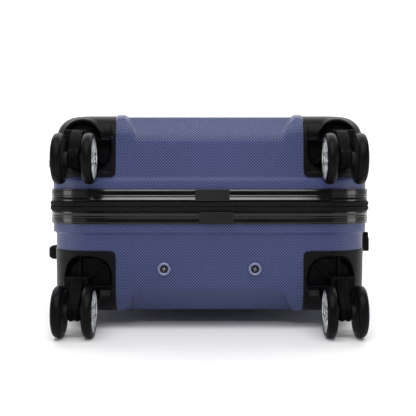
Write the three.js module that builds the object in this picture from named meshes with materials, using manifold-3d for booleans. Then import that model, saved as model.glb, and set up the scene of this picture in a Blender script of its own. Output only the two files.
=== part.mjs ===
// Hard shell cabin suitcase on four twin-wheel casters, lying on its back.
//
// Axes of the design, in millimetres: X runs across the case (+X carries the lock and the side
// handle, -X is the hinge side), +Y points to the trolley handle, -Y to the casters, and +Z to
// the front face. z = 0 is the middle of the zip. The exported group moves the design so that
// its origin is the bottom centre of the whole case, which then rests on z = 0.

import * as THREE from "three";
import { mergeVertices } from "three/addons/utils/BufferGeometryUtils.js";
import ManifoldModule from "manifold-3d";

const wasm = await ManifoldModule();
wasm.setup();

// ---------------------------------------------------------------- driving sizes

const gap = 0.3; // clearance between touching pieces

// Case halves
const halfWidth = 175; // half the width over the rims
const halfLength = 242.5; // half the length over the rims
const cornerRadius = 52; // plan corners of the rims
const frontDepth = 96; // zip middle to front face
const backDepth = 112; // zip middle to back face
const shellWall = 2.2;
const flangeHeight = 10; // straight wall above the rim
const stepHeight = 5;
const stepInset = 3.2;
const draft = 1.5;
const edgeRadius = 22; // between the walls and the face
const ridgeFromSide = 80.4; // middle of each long ridge of a face, in from the rim
const ridgeHalfWidth = 6.4;
const ridgeTopHalfWidth = 3.9;
const frontRidgeHeight = 2.4;
const backRidgeHeight = 1.8;

// Rims and zip
const zipGap = 11; // opening between the two rims
const rimHeight = 13;
const rimOuterLip = 2.1; // outside the channel that holds the shell's edge
const rimInnerLip = 1.6;
const rimWeb = 4.5; // under the channel
const tapeInner = 4; // the tape reaches this far inside the rim's face
const tapeOuter = 1; // and bulges this far outside it
const tapeSplit = 0.2; // half the slit between the two tapes
const hingeShortening = 1; // the hinge ends this far before the rims' corners
const hingeThickness = 3.6;
const hingeProud = 2; // fold lines stand this far outside the rims
const joinerLength = 36;
const joinerHeight = 12.6;
const joinerThickness = 1.4;
const frontJoinerX = 3;
const backJoinerX = 7;

// Corner housings and casters
const housingWidth = 75.8; // across the case, from the rim's side
const housingHeight = 65; // from the face towards the zip
const housingWrap = 61.5; // along the case, from the rim's end
const housingProud = 1;
const housingEndFillet = 9;
const housingSideFillet = 12;
const swivelFromSide = 37; // swivel axis, in from the rim's side
const swivelInset = 26; // swivel axis below the face
const dishDepth = 20;
const dishFloor = 2.2;
const dishToRim = 33; // reach of the dish from the swivel axis, four ways
const dishToFace = 21;
const dishToSide = 18;
const dishToMiddle = 33;
const dishShoulder = 24; // inner reach on the face side
const bossToMiddle = 10;
const bossToSide = 16;
const bossHalfHeight = 11.7;
const ribThickness = 1.6;
const ribSetBack = 7; // ribs stop this far behind the boss's face
const pinRadius = 4;
const pinHoleDepth = 18;
const pinEndClearance = 2;
const crownRadius = 13.5;
const crownLift = 0.6; // running clearance under the crown
const crownThickness = 4.4;
const armWidth = 11.6;
const barrelRadius = 10;
const axleRadius = 2.8;
const axleHalfLength = 18;
const wheelClearance = 1.6; // between the wheel and the end wall's plane
const wheelTrail = 20.2; // wheel centre, below the swivel axis
const wheelRadius = 26.4;
const tyreInnerFace = 9.8;
const tyreOuterFace = 20.7;
const tyreShoulder = 3;
const hubRadius = 21.9;
const hubInset = 0.4; // hub faces lie this far inside the tyre's faces
const collarRadius = 7;
const collarClearance = 0.5; // beside the fork's barrel

// Side feet, lock and zip sliders
const sideReach = 7; // side fittings stand this far outside the rims
const footBaseRadius = 8;
const footTipRadius = 4;
const footFromEnd = 73.5;
const backFootZ = -54;
const frontFootZ = 47;
const lockFromEnd = 71.5;
const lockLength = 64;
const lockBelowFlange = 2.8; // lock's top edge, below the top of the shell's flange
const lockHeight = 21.7;
const lockProud = 6.4; // outside the rims
const dialRadius = 5.4;
const dialWidth = 4.4;
const dialPitch = 7;
const dialCount = 3;
const dialFromLockEnd = 21;
const dialBelowTop = 13.7; // dials' axis, below the lock's top edge
const dialPocketMargin = 0.5;
const releaseFromLockEnd = 51;
const releaseHalfLength = 4;
const releaseHalfHeight = 3.5;
const releaseTravel = 4;
const releaseThickness = 3;
const sliderLength = 10;
const sliderHalfHeight = 4.6;
const sliderThickness = 4.6;
const sliderFromEnd = [92.5, 114.5];
const pullerClearance = 0.7; // between the puller's tip and the lock
const pullerThickness = 2.2;
const pullerWidth = 6;

// Trolley handle
const trolleyFromFace = 36; // tubes' axes, in from the back face
const tubeX = 48;
const tubeWidth = 22;
const tubeDepth = 12.6;
const outerTubeWall = 1.2;
const midTubeWall = 1;
const tubeFootRoom = 14.9; // end wall's outside to the tubes' lower ends
const midTubeLift = 9.7; // each stage starts this far above the one outside it
const innerTubeLift = 7;
const bezelFloorBelow = 12.4; // top of the bezel's floor, below the end wall's outside
const bezelFloor = 2.5;
const bezelHalfWidth = 69;
const bezelHalfDepth = 16;
const bezelWall = 3.1;
const bezelFlange = 1.8;
const bezelSideFlange = 4;
const bezelFlangeThickness = 2;
const gripHalfWidth = 63;
const gripHalfDepth = 10.5;
const gripHeight = 20;
const gripLift = 2.8; // above the bezel's floor
const buttonHalfWidth = 15;
const buttonHalfDepth = 6;
const buttonTravel = 3;
const buttonProud = 2;
const buttonThickness = 3.2;
const buttonFit = 0.4;
const bracketHalfWidth = 62;
const bracketBelow = 10; // towards the back face from the tubes' axes
const bracketAbove = 18;
const screwAbove = 10;
const screwShank = 2;
const screwHead = 3.8;
const screwWasher = 6.5;
const screwWasherThickness = 1.2;
const screwHeadThickness = 1;
const screwLength = 12;

// Carry handles
const handleHalfLength = 88;
const handleWidth = 22;
const handlePlate = 2.5;
const handleBlockStart = 62;
const handleBlockHeight = 7.1;
const handleBarHalfLength = 86;
const handleBarWidth = 20;
const handleBarBottom = 8;
const handleBarTop = 12.7;
const handleLegCentre = 75;
const handleLegHalfLength = 5.6;
const handleLegHalfWidth = 7;
const handleLegDepth = 16;
const handleFootThickness = 2;
const handleFootMargin = 2;
const sideHandleZ = -62;
const handleToBezel = 0.7; // between the top handle's base and the bezel's flange

// Roundness of the facets
const cornerSteps = 6;
const edgeSteps = 4;
const dishSteps = 5;
const filletSteps = 3;
const wheelSides = 20;
const rodSides = 16;

// ---------------------------------------------------------------- sizes that follow

const shellInset = rimOuterLip + gap;
const channelWidth = shellWall + 2 * gap;
const rimThickness = rimOuterLip + channelWidth + rimInnerLip;
const rimBase = zipGap / 2;
const rimTop = rimBase + rimHeight;
const channelBottom = rimBase + rimWeb;
const shellEdge = channelBottom + gap;
const flangeTop = rimTop + flangeHeight;
const stepTop = flangeTop + stepHeight;
const endPlane = halfLength - shellInset - stepInset; // outside of the end walls at the step
const sidePlane = halfWidth - shellInset - stepInset;
const ridgeX = halfWidth - ridgeFromSide;
const hingeHalfLength = halfLength - cornerRadius - hingeShortening;
const housingInnerX = halfWidth - housingWidth;
const swivelX = halfWidth - swivelFromSide;
const wheelOut = wheelRadius + wheelClearance; // wheel centre, outwards from the end wall
const lockTop = -flangeTop - lockBelowFlange;
const lockBottom = lockTop - lockHeight;
const dialZ = lockTop - dialBelowTop;
const pullerReach = -lockTop - pullerClearance; // puller's tip, below the zip middle
const trolleyZ = trolleyFromFace - backDepth;
const bracketLow = trolleyZ - bracketBelow;
const bracketHigh = trolleyZ + bracketAbove;
const screwZ = trolleyZ + screwAbove;
const bezelEdge = -trolleyZ - bezelHalfDepth - bezelFlange; // flange's edge nearest the zip
const topHandleZ = -bezelEdge + handleToBezel + handleWidth / 2;
const sideLimit = halfWidth + sideReach;

/** How far the wall has come in from the end or side plane at a height above the zip. */
function wallDraft(depth, height) {
  const along = (height - stepTop) / (depth - edgeRadius - stepTop);
  return draft * Math.min(Math.max(along, 0), 1);
}

// ---------------------------------------------------------------- solids

/** The volume inside a triangle mesh, negative when its faces point inwards. */
function signedVolume(positions, index) {
  const [a, b, c] = [new THREE.Vector3(), new THREE.Vector3(), new THREE.Vector3()];
  let volume = 0;
  for (let i = 0; i < index.length; i += 3) {
    a.fromArray(positions, 3 * index[i]);
    b.fromArray(positions, 3 * index[i + 1]);
    c.fromArray(positions, 3 * index[i + 2]);
    volume += a.dot(b.cross(c)) / 6;
  }
  return volume;
}

/** Turns a closed geometry into a solid that can be joined and cut. */
function solidOf(geometry) {
  const plain = new THREE.BufferGeometry();
  plain.setAttribute("position", geometry.getAttribute("position"));
  plain.setIndex(geometry.index);
  const merged = mergeVertices(plain, 1e-4);
  const positions = merged.getAttribute("position").array;
  const source = merged.index.array;
  const triangles = [];
  for (let i = 0; i < source.length; i += 3) {
    const [a, b, c] = [source[i], source[i + 1], source[i + 2]];
    if (a !== b && b !== c && c !== a) triangles.push(a, b, c);
  }
  if (signedVolume(positions, triangles) < 0) triangles.reverse();
  return new wasm.Manifold(new wasm.Mesh({
    numProp: 3,
    vertProperties: Float32Array.from(positions),
    triVerts: Uint32Array.from(triangles),
  }));
}

/** Turns a solid back into a geometry. */
function geometryOf(solid) {
  const mesh = solid.getMesh();
  const geometry = new THREE.BufferGeometry();
  geometry.setAttribute("position", new THREE.Float32BufferAttribute(mesh.vertProperties, 3));
  geometry.setIndex(new THREE.Uint32BufferAttribute(mesh.triVerts, 1));
  return geometry;
}

/** Joins any number of solids. */
function joined(...solids) {
  return solids.reduce((whole, solid) => whole.add(solid));
}

/** A copy of a solid, moved by a matrix. */
function moved(solid, matrix) {
  return solidOf(geometryOf(solid).applyMatrix4(matrix));
}

/** A copy of a solid, mirrored left to right or front to back. */
function mirrored(solid, x, z) {
  return moved(solid, new THREE.Matrix4().makeScale(x, 1, z));
}

/** A box between two corners. */
function box([x0, y0, z0], [x1, y1, z1]) {
  const geometry = new THREE.BoxGeometry(x1 - x0, y1 - y0, z1 - z0);
  return solidOf(geometry.translate((x0 + x1) / 2, (y0 + y1) / 2, (z0 + z1) / 2));
}

/** Extrudes an outline along an axis. Its points are (y, z), (x, z) or (x, y) for axis x, y, z. */
function prism(outline, axis, from, to) {
  const shape = new THREE.Shape(outline.map(([u, v]) => new THREE.Vector2(u, v)));
  const geometry = new THREE.ExtrudeGeometry(shape, { depth: to - from, bevelEnabled: false });
  const [alongX, alongY, alongZ] = [0, 1, 2].map((i) => new THREE.Vector3().setComponent(i, 1));
  if (axis === "x") {
    geometry.applyMatrix4(new THREE.Matrix4().makeBasis(alongY, alongZ, alongX));
    geometry.translate(from, 0, 0);
  } else if (axis === "y") {
    geometry.rotateX(Math.PI / 2).translate(0, to, 0);
  } else {
    geometry.translate(0, 0, from);
  }
  return solidOf(geometry);
}

/** A round rod along an axis; its centre is (y, z), (x, z) or (x, y) for axis x, y, z. */
function rod(axis, [u, v], radius, from, to, sides = rodSides) {
  const geometry = new THREE.CylinderGeometry(radius, radius, to - from, sides);
  const middle = (from + to) / 2;
  if (axis === "x") geometry.rotateZ(Math.PI / 2).translate(middle, u, v);
  if (axis === "y") geometry.translate(u, middle, v);
  if (axis === "z") geometry.rotateX(Math.PI / 2).translate(u, v, middle);
  return solidOf(geometry);
}

/** A solid turned about the X axis from (radius, x) points. */
function turnedAboutX(profile, sides) {
  const points = profile.map(([radius, x]) => new THREE.Vector2(radius, x));
  return solidOf(new THREE.LatheGeometry(points, sides).rotateZ(-Math.PI / 2));
}

/** A rectangle with round corners as (u, v) points. */
function roundedRectangle(halfU, halfV, radius, [centreU, centreV] = [0, 0], steps = filletSteps) {
  const points = [];
  [[1, -1], [1, 1], [-1, 1], [-1, -1]].forEach(([su, sv], quarter) => {
    for (let step = 0; step <= steps; step++) {
      const angle = ((quarter - 1 + step / steps) * Math.PI) / 2;
      points.push([
        centreU + su * (halfU - radius) + radius * Math.cos(angle),
        centreV + sv * (halfV - radius) + radius * Math.sin(angle),
      ]);
    }
  });
  return points;
}

/** The case's plan outline at a height, moved in from the rims' face by a negative offset. */
function planRing(offset, z) {
  const radius = cornerRadius + offset;
  const outline = roundedRectangle(halfWidth + offset, halfLength + offset, radius, [0, 0],
    cornerSteps);
  return outline.map(([x, y]) => new THREE.Vector3(x, y, z));
}

/** A solid through rings with equal numbers of points, capped, or closed into a loop. */
function loft(rings, isLoop = false) {
  const count = rings[0].length;
  const points = rings.flat();
  const index = [];
  const bands = isLoop ? rings.length : rings.length - 1;
  for (let band = 0; band < bands; band++) {
    const a = band * count;
    const b = ((band + 1) % rings.length) * count;
    for (let j = 0; j < count; j++) {
      const k = (j + 1) % count;
      index.push(a + j, a + k, b + k, a + j, b + k, b + j);
    }
  }
  if (!isLoop) {
    const last = (rings.length - 1) * count;
    for (const [ring, first, flip] of [[rings[0], 0, true], [rings.at(-1), last, false]]) {
      const centre = points.length;
      points.push(new THREE.Vector3(0, 0, ring[0].z));
      for (let j = 0; j < count; j++) {
        const k = (j + 1) % count;
        index.push(centre, first + (flip ? k : j), first + (flip ? j : k));
      }
    }
  }
  const geometry = new THREE.BufferGeometry().setFromPoints(points);
  geometry.setIndex(index);
  return solidOf(geometry);
}

/** A profile of (offset, z) points carried round the case's plan outline. */
function sweptRound(profile) {
  return loft(profile.map(([offset, z]) => planRing(offset, z)), true);
}

// ---------------------------------------------------------------- finishes

const finish = (color, roughness, metalness = 0) =>
  new THREE.MeshStandardMaterial({ color, roughness, metalness });

const finishes = {
  shell: finish(0x22345f, 0.42),
  rim: finish(0x0c0c0e, 0.18),
  blackPlastic: finish(0x151517, 0.55),
  greyPlastic: finish(0x2b2c30, 0.5),
  tyre: finish(0x111112, 0.72),
  hub: finish(0xb9bcc2, 0.35, 0.6),
  tape: finish(0x141416, 0.9),
  aluminium: finish(0xb4b7bc, 0.32, 0.9),
  steel: finish(0x8f9298, 0.35, 0.9),
};

const suitcase = new THREE.Group();

/** Adds a solid to the suitcase, or to a group of it, as a named piece. */
function addPiece(name, solid, material, group = suitcase) {
  const mesh = new THREE.Mesh(geometryOf(solid), material);
  mesh.name = name;
  group.add(mesh);
  return mesh;
}

// ---------------------------------------------------------------- case halves

const halves = [
  { end: "front", side: 1, depth: frontDepth, ridgeHeight: frontRidgeHeight },
  { end: "back", side: -1, depth: backDepth, ridgeHeight: backRidgeHeight },
];
const hands = [{ hand: "left", sign: -1 }, { hand: "right", sign: 1 }];

/** Rings of a half's surface, from the shell's edge to its face, all moved out by grow. */
function surfaceRings(depth, grow) {
  const straight = depth - edgeRadius;
  const inset = shellInset + stepInset + draft;
  const levels = [
    [-shellInset, shellEdge],
    [-shellInset, flangeTop],
    [-shellInset - stepInset, stepTop],
    [-inset, straight],
  ];
  const rings = levels.map(([offset, z]) => planRing(offset + grow, z));
  for (let step = 1; step <= edgeSteps; step++) {
    const angle = ((step / edgeSteps) * Math.PI) / 2;
    const radius = edgeRadius + grow;
    const offset = grow - inset - radius * (1 - Math.cos(angle));
    rings.push(planRing(offset, straight + radius * Math.sin(angle)));
  }
  return rings;
}

/** The block of space at a lower corner that a caster housing fills, grown by a margin. */
function housingRegion(depth, grow) {
  const far = halfLength + halfWidth + depth; // well outside the case
  const innerX = housingInnerX - grow;
  const innerY = -halfLength + housingWrap + grow;
  const low = depth - housingHeight - grow;
  const corner = (u, v, du, dv, radius) => {
    const points = [];
    for (let step = 0; step <= filletSteps; step++) {
      const angle = ((step / filletSteps) * Math.PI) / 2;
      points.push([
        u + du * radius * (1 - Math.sin(angle)),
        v + dv * radius * (1 - Math.cos(angle)),
      ]);
    }
    return points;
  };
  const onEnd = [...corner(innerX, low, 1, 1, housingEndFillet), [innerX, far], [far, far]];
  const onSide = [...corner(innerY, low, -1, 1, housingSideFillet), [innerY, far], [-far, far]];
  const onFace = [...corner(innerX, innerY, 1, -1, housingSideFillet), [innerX, -far], [far, -far]];
  return prism([...onEnd, [far, low]], "y", -far, innerY + 1)
    .intersect(prism([...onSide, [-far, low]], "x", innerX - 1, far))
    .intersect(prism([...onFace, [far, innerY]], "z", low - 1, far));
}

/** A thin-walled tray with its long ridges, cut away at the two caster corners. */
function shellTray({ depth, ridgeHeight }) {
  const inner = surfaceRings(depth, -shellWall).reverse();
  let tray = loft([...inner, ...surfaceRings(depth, 0)]);
  const ridgeEnd = halfLength - shellInset - stepInset - draft - edgeRadius;
  const sink = shellWall / 2;
  for (const { sign } of hands) {
    const outline = [
      [sign * ridgeX - ridgeHalfWidth, depth - sink],
      [sign * ridgeX + ridgeHalfWidth, depth - sink],
      [sign * ridgeX + ridgeTopHalfWidth, depth + ridgeHeight],
      [sign * ridgeX - ridgeTopHalfWidth, depth + ridgeHeight],
    ];
    tray = tray.add(prism(outline, "y", -ridgeEnd, ridgeEnd));
  }
  const region = housingRegion(depth, gap);
  return tray.subtract(region).subtract(mirrored(region, -1, 1));
}

/** The dish's outline about the swivel axis as (x, z) points, grown by a margin. */
function dishOutline(centreX, centreZ, grow) {
  const quarters = [
    [dishToSide, dishToFace],
    [dishShoulder, dishToFace],
    [dishToMiddle, dishToRim],
    [dishToSide, dishToRim],
  ];
  return quarters.flatMap(([reachX, reachZ], quarter) => {
    const points = [];
    for (let step = 0; step <= dishSteps; step++) {
      const angle = ((quarter + step / dishSteps) * Math.PI) / 2;
      points.push([
        centreX + (reachX + grow) * Math.cos(angle),
        centreZ + (reachZ + grow) * Math.sin(angle),
      ]);
    }
    return points;
  });
}

/** A corner moulding with the caster's dish, its kingpin boss and the ribs that carry it. */
function cornerHousing({ depth }) {
  const axisZ = depth - swivelInset;
  const outside = loft(surfaceRings(depth, housingProud)).intersect(housingRegion(depth, 0));
  const floorTop = -endPlane + dishDepth;
  const beyond = -endPlane - dishDepth;
  const cup = prism(dishOutline(swivelX, axisZ, dishFloor), "y", beyond, floorTop + dishFloor)
    .intersect(outside);
  const pocket = prism(dishOutline(swivelX, axisZ, 0), "y", beyond, floorTop);
  const skin = outside.subtract(loft(surfaceRings(depth, -shellWall)));
  const rooted = floorTop + dishFloor / 2;
  const boss = box(
    [swivelX - bossToMiddle, -endPlane, axisZ - bossHalfHeight],
    [swivelX + bossToSide, rooted, axisZ + bossHalfHeight],
  );
  const ribs = [2, 2.5, 3].map((quarter) => {
    const turn = new THREE.Matrix4()
      .makeTranslation(swivelX, 0, axisZ)
      .multiply(new THREE.Matrix4().makeRotationY((-quarter * Math.PI) / 2));
    const half = ribThickness / 2;
    return moved(box([pinRadius * 2, -endPlane + ribSetBack, -half],
      [dishToRim + dishFloor / 2, rooted, half]), turn);
  });
  const pinHole = rod("y", [swivelX, axisZ], pinRadius + gap, -endPlane - 1,
    -endPlane + pinHoleDepth);
  return joined(skin, cup).subtract(pocket).add(joined(boss, ...ribs)).subtract(pinHole);
}

/** A rim: a frame round the shell's edge, with a channel that takes it. */
function rimFrame() {
  return sweptRound([
    [0, rimBase],
    [0, rimTop],
    [-rimOuterLip, rimTop],
    [-rimOuterLip, channelBottom],
    [-rimOuterLip - channelWidth, channelBottom],
    [-rimOuterLip - channelWidth, rimTop],
    [-rimThickness, rimTop],
    [-rimThickness, rimBase],
  ]);
}

/** Half of the zip: a tape round the case, left open along the hinge. */
function zipTape() {
  const top = rimBase - gap;
  const tape = sweptRound([
    [tapeOuter, tapeSplit],
    [tapeOuter, top],
    [-tapeInner, top],
    [-tapeInner, tapeSplit],
  ]);
  const opening = hingeHalfLength + 2 * gap;
  return tape.subtract(box([-halfWidth - 10, -opening, -1], [0, opening, rimTop]));
}

/** A side foot: a blunt cone that the case stands on when it is laid on its hinge side. */
function sideFoot() {
  const height = sideLimit - sidePlane - gap;
  return turnedAboutX([
    [0, 0],
    [footBaseRadius, 0],
    [footBaseRadius - 0.6, height * 0.45],
    [footTipRadius + 1.6, height - 1.8],
    [footTipRadius, height],
    [0, height],
  ], rodSides);
}

/** A plate over the seam of a rim on the caster end. */
function rimJoiner(centreX) {
  const half = joinerHeight / 2;
  const outline = roundedRectangle(joinerLength / 2, half, 1.5, [centreX, rimBase + rimHeight / 2]);
  return prism(outline, "y", -halfLength - gap - joinerThickness, -halfLength - gap);
}

// ---------------------------------------------------------------- carry handles

/** Matrix from a handle's own axes (along, across, outwards) to the wall that it sits on. */
function onWall(along, across, outwards, origin) {
  return new THREE.Matrix4()
    .makeBasis(along, across, outwards)
    .premultiply(new THREE.Matrix4().makeTranslation(...origin));
}

/** The two legs of a handle, with a margin all round and between two heights. */
function handleLegs(margin, low, high) {
  return [-1, 1].map((sign) => box(
    [sign * handleLegCentre - handleLegHalfLength - margin, -handleLegHalfWidth - margin, low],
    [sign * handleLegCentre + handleLegHalfLength + margin, handleLegHalfWidth + margin, high],
  ));
}

/** The fixed plate of a carry handle, with a slotted block at each end. */
function handleBase() {
  const plate = prism(roundedRectangle(handleHalfLength, handleWidth / 2, 6), "z", 0, handlePlate);
  const blocks = [-1, 1].map((sign) => {
    const middle = (sign * (handleBlockStart + handleHalfLength)) / 2;
    const half = (handleHalfLength - handleBlockStart) / 2;
    return prism(roundedRectangle(half, handleWidth / 2, 6, [middle, 0]), "z", 0,
      handleBlockHeight);
  });
  const slots = handleLegs(gap, -1, handleBlockHeight + 1);
  return joined(plate, ...blocks).subtract(joined(...slots));
}

/** The grip of a carry handle, with two legs that end in stops inside the case. */
function handleGrip() {
  const outline = roundedRectangle(handleBarHalfLength, handleBarWidth / 2, 9);
  const bar = prism(outline, "z", handleBarBottom, handleBarTop);
  const legs = handleLegs(0, -handleLegDepth, handleBarBottom + 1);
  const stops = handleLegs(handleFootMargin, -handleLegDepth,
    -handleLegDepth + handleFootThickness);
  return joined(bar, ...legs, ...stops);
}

const unit = (x, y, z) => new THREE.Vector3(x, y, z);
const sideHandleLow = -sideHandleZ - handleWidth / 2;
const sideHandleWall = sidePlane - wallDraft(backDepth, sideHandleLow) + gap;
const topHandleWall = endPlane - wallDraft(backDepth, -topHandleZ - handleWidth / 2) + gap;
const carryHandles = [
  {
    name: "side",
    matrix: onWall(unit(0, 1, 0), unit(0, 0, 1), unit(1, 0, 0), [sideHandleWall, 0, sideHandleZ]),
  },
  {
    name: "top",
    matrix: onWall(unit(1, 0, 0), unit(0, 0, -1), unit(0, 1, 0), [0, topHandleWall, topHandleZ]),
  },
];
for (const { name, matrix } of carryHandles) {
  addPiece(`${name}_handle_base`, moved(handleBase(), matrix), finishes.blackPlastic);
  addPiece(`${name}_handle_grip`, moved(handleGrip(), matrix), finishes.blackPlastic);
}

// ---------------------------------------------------------------- trolley handle

const outerTubeInside = [tubeWidth - 2 * outerTubeWall, tubeDepth - 2 * outerTubeWall];
const midTubeSize = outerTubeInside.map((size) => size - 2 * gap);
const midTubeInside = midTubeSize.map((size) => size - 2 * midTubeWall);
const innerTubeSize = midTubeInside.map((size) => size - 2 * gap);
const bezelFloorTop = endPlane - bezelFloorBelow - gap;
const tubeLow = -endPlane + tubeFootRoom + gap;
const flangeLow = endPlane - wallDraft(backDepth, bezelEdge) + gap;

/** A rectangular bar along Y about a tube's axis. */
function tubeBar(centreX, [width, depth], low, high) {
  const outline = roundedRectangle(width / 2, depth / 2, depth / 5, [centreX, trolleyZ], 2);
  return prism(outline, "y", low, high);
}

/** The cup that the stowed grip drops into, with a flange on the end wall. */
function trolleyBezel() {
  const floorBottom = bezelFloorTop - bezelFloor;
  const top = flangeLow + bezelFlangeThickness;
  const centre = [0, trolleyZ];
  const cup = prism(roundedRectangle(bezelHalfWidth, bezelHalfDepth, 6, centre), "y",
    floorBottom, top);
  const flange = prism(roundedRectangle(bezelHalfWidth + bezelSideFlange,
    bezelHalfDepth + bezelFlange, 7, centre), "y", flangeLow, top);
  const pocket = prism(roundedRectangle(bezelHalfWidth - bezelWall - gap,
    bezelHalfDepth - bezelWall, 4, centre), "y", bezelFloorTop, top + 1);
  const holeSize = midTubeSize.map((size) => size + 0.8);
  const holes = [-tubeX, tubeX].map((x) => tubeBar(x, holeSize, floorBottom - 1, top));
  return joined(cup, flange).subtract(joined(pocket, ...holes));
}

/** The opening in the back shell's top wall for the bezel's cup. */
function bezelOpening() {
  return prism(roundedRectangle(bezelHalfWidth + gap, bezelHalfDepth + gap, 6, [0, trolleyZ]), "y",
    bezelFloorTop - bezelFloor - 1, halfLength);
}

const gripBottom = bezelFloorTop + gripLift;
const gripTop = gripBottom + gripHeight;
const buttonTop = gripTop + buttonProud;

/** The grip, with a pocket for its release button. */
function trolleyGrip() {
  const grip = prism(roundedRectangle(gripHalfWidth, gripHalfDepth, 7, [0, trolleyZ]), "y",
    gripBottom, gripTop);
  const pocketFloor = buttonTop - buttonThickness - buttonTravel - 0.5;
  return grip.subtract(prism(roundedRectangle(buttonHalfWidth + buttonFit,
    buttonHalfDepth + buttonFit, 3, [0, trolleyZ]), "y", pocketFloor, gripTop + 1));
}

/** The release button on the grip. */
function gripButton() {
  const outline = roundedRectangle(buttonHalfWidth, buttonHalfDepth, 3, [0, trolleyZ]);
  return prism(outline, "y", buttonTop - buttonThickness, buttonTop);
}

const bracketEnd = -endPlane + wallDraft(backDepth, -bracketLow) + shellWall + gap;
const bracketTop = tubeLow - gap;

/** The block inside the caster end that carries the outer tubes. */
function footBracket() {
  const block = box([-bracketHalfWidth, bracketEnd, bracketLow],
    [bracketHalfWidth, bracketTop, bracketHigh]);
  const holes = [-tubeX, tubeX].map((x) =>
    rod("y", [x, screwZ], screwShank + gap, bracketEnd - 1, bracketTop + 1));
  return block.subtract(joined(...holes));
}

/** A screw with a broad washer face, through the end wall into the foot bracket. */
function bracketScrew(centreX) {
  const wallOutside = -endPlane + wallDraft(backDepth, -screwZ - screwWasher) - gap;
  const washer = wallOutside - screwWasherThickness;
  const centre = [centreX, screwZ];
  return joined(
    rod("y", centre, screwShank, washer, wallOutside + screwLength),
    rod("y", centre, screwWasher, washer, wallOutside),
    rod("y", centre, screwHead, washer - screwHeadThickness, wallOutside),
  );
}

addPiece("trolley_bezel", trolleyBezel(), finishes.blackPlastic);
addPiece("trolley_foot_bracket", footBracket(), finishes.greyPlastic);
for (const { hand, sign } of hands) {
  const x = sign * tubeX;
  const outerTop = bezelFloorTop - bezelFloor - gap;
  const midLow = tubeLow + midTubeLift;
  const innerLow = midLow + innerTubeLift;
  const outerTube = tubeBar(x, [tubeWidth, tubeDepth], tubeLow, outerTop)
    .subtract(tubeBar(x, outerTubeInside, tubeLow - 1, outerTop + 1));
  const midTube = tubeBar(x, midTubeSize, midLow, bezelFloorTop)
    .subtract(tubeBar(x, midTubeInside, midLow - 1, bezelFloorTop + 1));
  addPiece(`trolley_outer_tube_${hand}`, outerTube, finishes.aluminium);
  addPiece(`trolley_mid_tube_${hand}`, midTube, finishes.aluminium);
  addPiece(`trolley_inner_tube_${hand}`, tubeBar(x, innerTubeSize, innerLow, gripBottom - gap),
    finishes.aluminium);
  addPiece(`trolley_screw_${hand}`, bracketScrew(x), finishes.steel);
}
addPiece("trolley_grip", trolleyGrip(), finishes.blackPlastic);
addPiece("grip_button", gripButton(), finishes.greyPlastic);

// ---------------------------------------------------------------- shells, rims, zip and housings

/** Everything that passes through the back shell's walls. */
function backShellOpenings() {
  const slots = carryHandles.flatMap(({ matrix }) =>
    handleLegs(handleFootMargin / 2, -shellWall * 3, 1).map((leg) => moved(leg, matrix)));
  const screwHoles = [-tubeX, tubeX].map((x) =>
    rod("y", [x, screwZ], screwShank + 2 * gap, -halfLength, -endPlane + 3 * shellWall));
  return joined(bezelOpening(), ...slots, ...screwHoles);
}

for (const half of halves) {
  const { end, side } = half;
  let shell = mirrored(shellTray(half), 1, side);
  if (end === "back") shell = shell.subtract(backShellOpenings());
  addPiece(`${end}_shell`, shell, finishes.shell);
  addPiece(`${end}_rim`, mirrored(rimFrame(), 1, side), finishes.rim);
  addPiece(`${end}_zip_tape`, mirrored(zipTape(), 1, side), finishes.tape);
  const joinerX = end === "front" ? frontJoinerX : backJoinerX;
  addPiece(`${end}_rim_joiner`, mirrored(rimJoiner(joinerX), 1, side), finishes.blackPlastic);
  const housing = mirrored(cornerHousing(half), 1, side);
  for (const { hand, sign } of hands) {
    addPiece(`housing_${end}_${hand}`, mirrored(housing, sign, 1), finishes.blackPlastic);
  }
  const footZ = end === "front" ? frontFootZ : backFootZ;
  for (const [place, direction] of [["lower", -1], ["upper", 1]]) {
    const foot = addPiece(`side_foot_${end}_${place}`, sideFoot(), finishes.blackPlastic);
    foot.rotation.z = Math.PI;
    foot.position.set(-sidePlane - gap, direction * (halfLength - footFromEnd), footZ);
  }
}

const hingeOutside = -halfWidth - hingeProud + 0.2;
addPiece("hinge_fabric", box(
  [hingeOutside, -hingeHalfLength, -rimBase + gap],
  [hingeOutside + hingeThickness, hingeHalfLength, rimBase - gap],
), finishes.tape);

// ---------------------------------------------------------------- combination lock and zip sliders

const lockLow = -halfLength + lockFromEnd;
const lockBack = sidePlane + gap;
const lockFace = halfWidth + lockProud;
const dialX = lockFace - dialRadius + 0.4;
const stepClear = halfWidth - shellInset + 2 * gap; // clears the shell's step
const releaseX = sideLimit - releaseThickness;

/** The lock's body, with a pocket for each dial and one for the release button. */
function lockBody() {
  const body = prism([
    [lockBack, lockBottom],
    [lockFace - 1.4, lockBottom],
    [lockFace, lockBottom + 1.5],
    [lockFace, lockTop - 6.7],
    [lockFace - 0.8, lockTop - 5.7],
    [lockFace - 0.8, lockTop - 1.2],
    [lockFace - 1.9, lockTop],
    [stepClear, lockTop],
    [stepClear, lockTop - stepHeight - 0.2],
    [lockBack, lockTop - stepHeight - 1.2],
  ], "y", lockLow, lockLow + lockLength);
  const pockets = dialPlaces().map((y) => rod("y", [dialX, dialZ], dialRadius + dialPocketMargin,
    y - dialWidth / 2 - 0.4, y + dialWidth / 2 + 0.4, wheelSides));
  const releaseY = lockLow + releaseFromLockEnd;
  const releasePocket = box(
    [releaseX - gap, releaseY - releaseHalfLength - 0.5, dialZ - releaseHalfHeight - 0.5],
    [sideLimit + 1, releaseY + releaseHalfLength + releaseTravel + 0.5,
      dialZ + releaseHalfHeight + 0.5],
  );
  return body.subtract(joined(...pockets, releasePocket));
}

/** The dials' middles along Y. */
function dialPlaces() {
  return Array.from({ length: dialCount }, (_, i) => lockLow + dialFromLockEnd + i * dialPitch);
}

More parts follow.
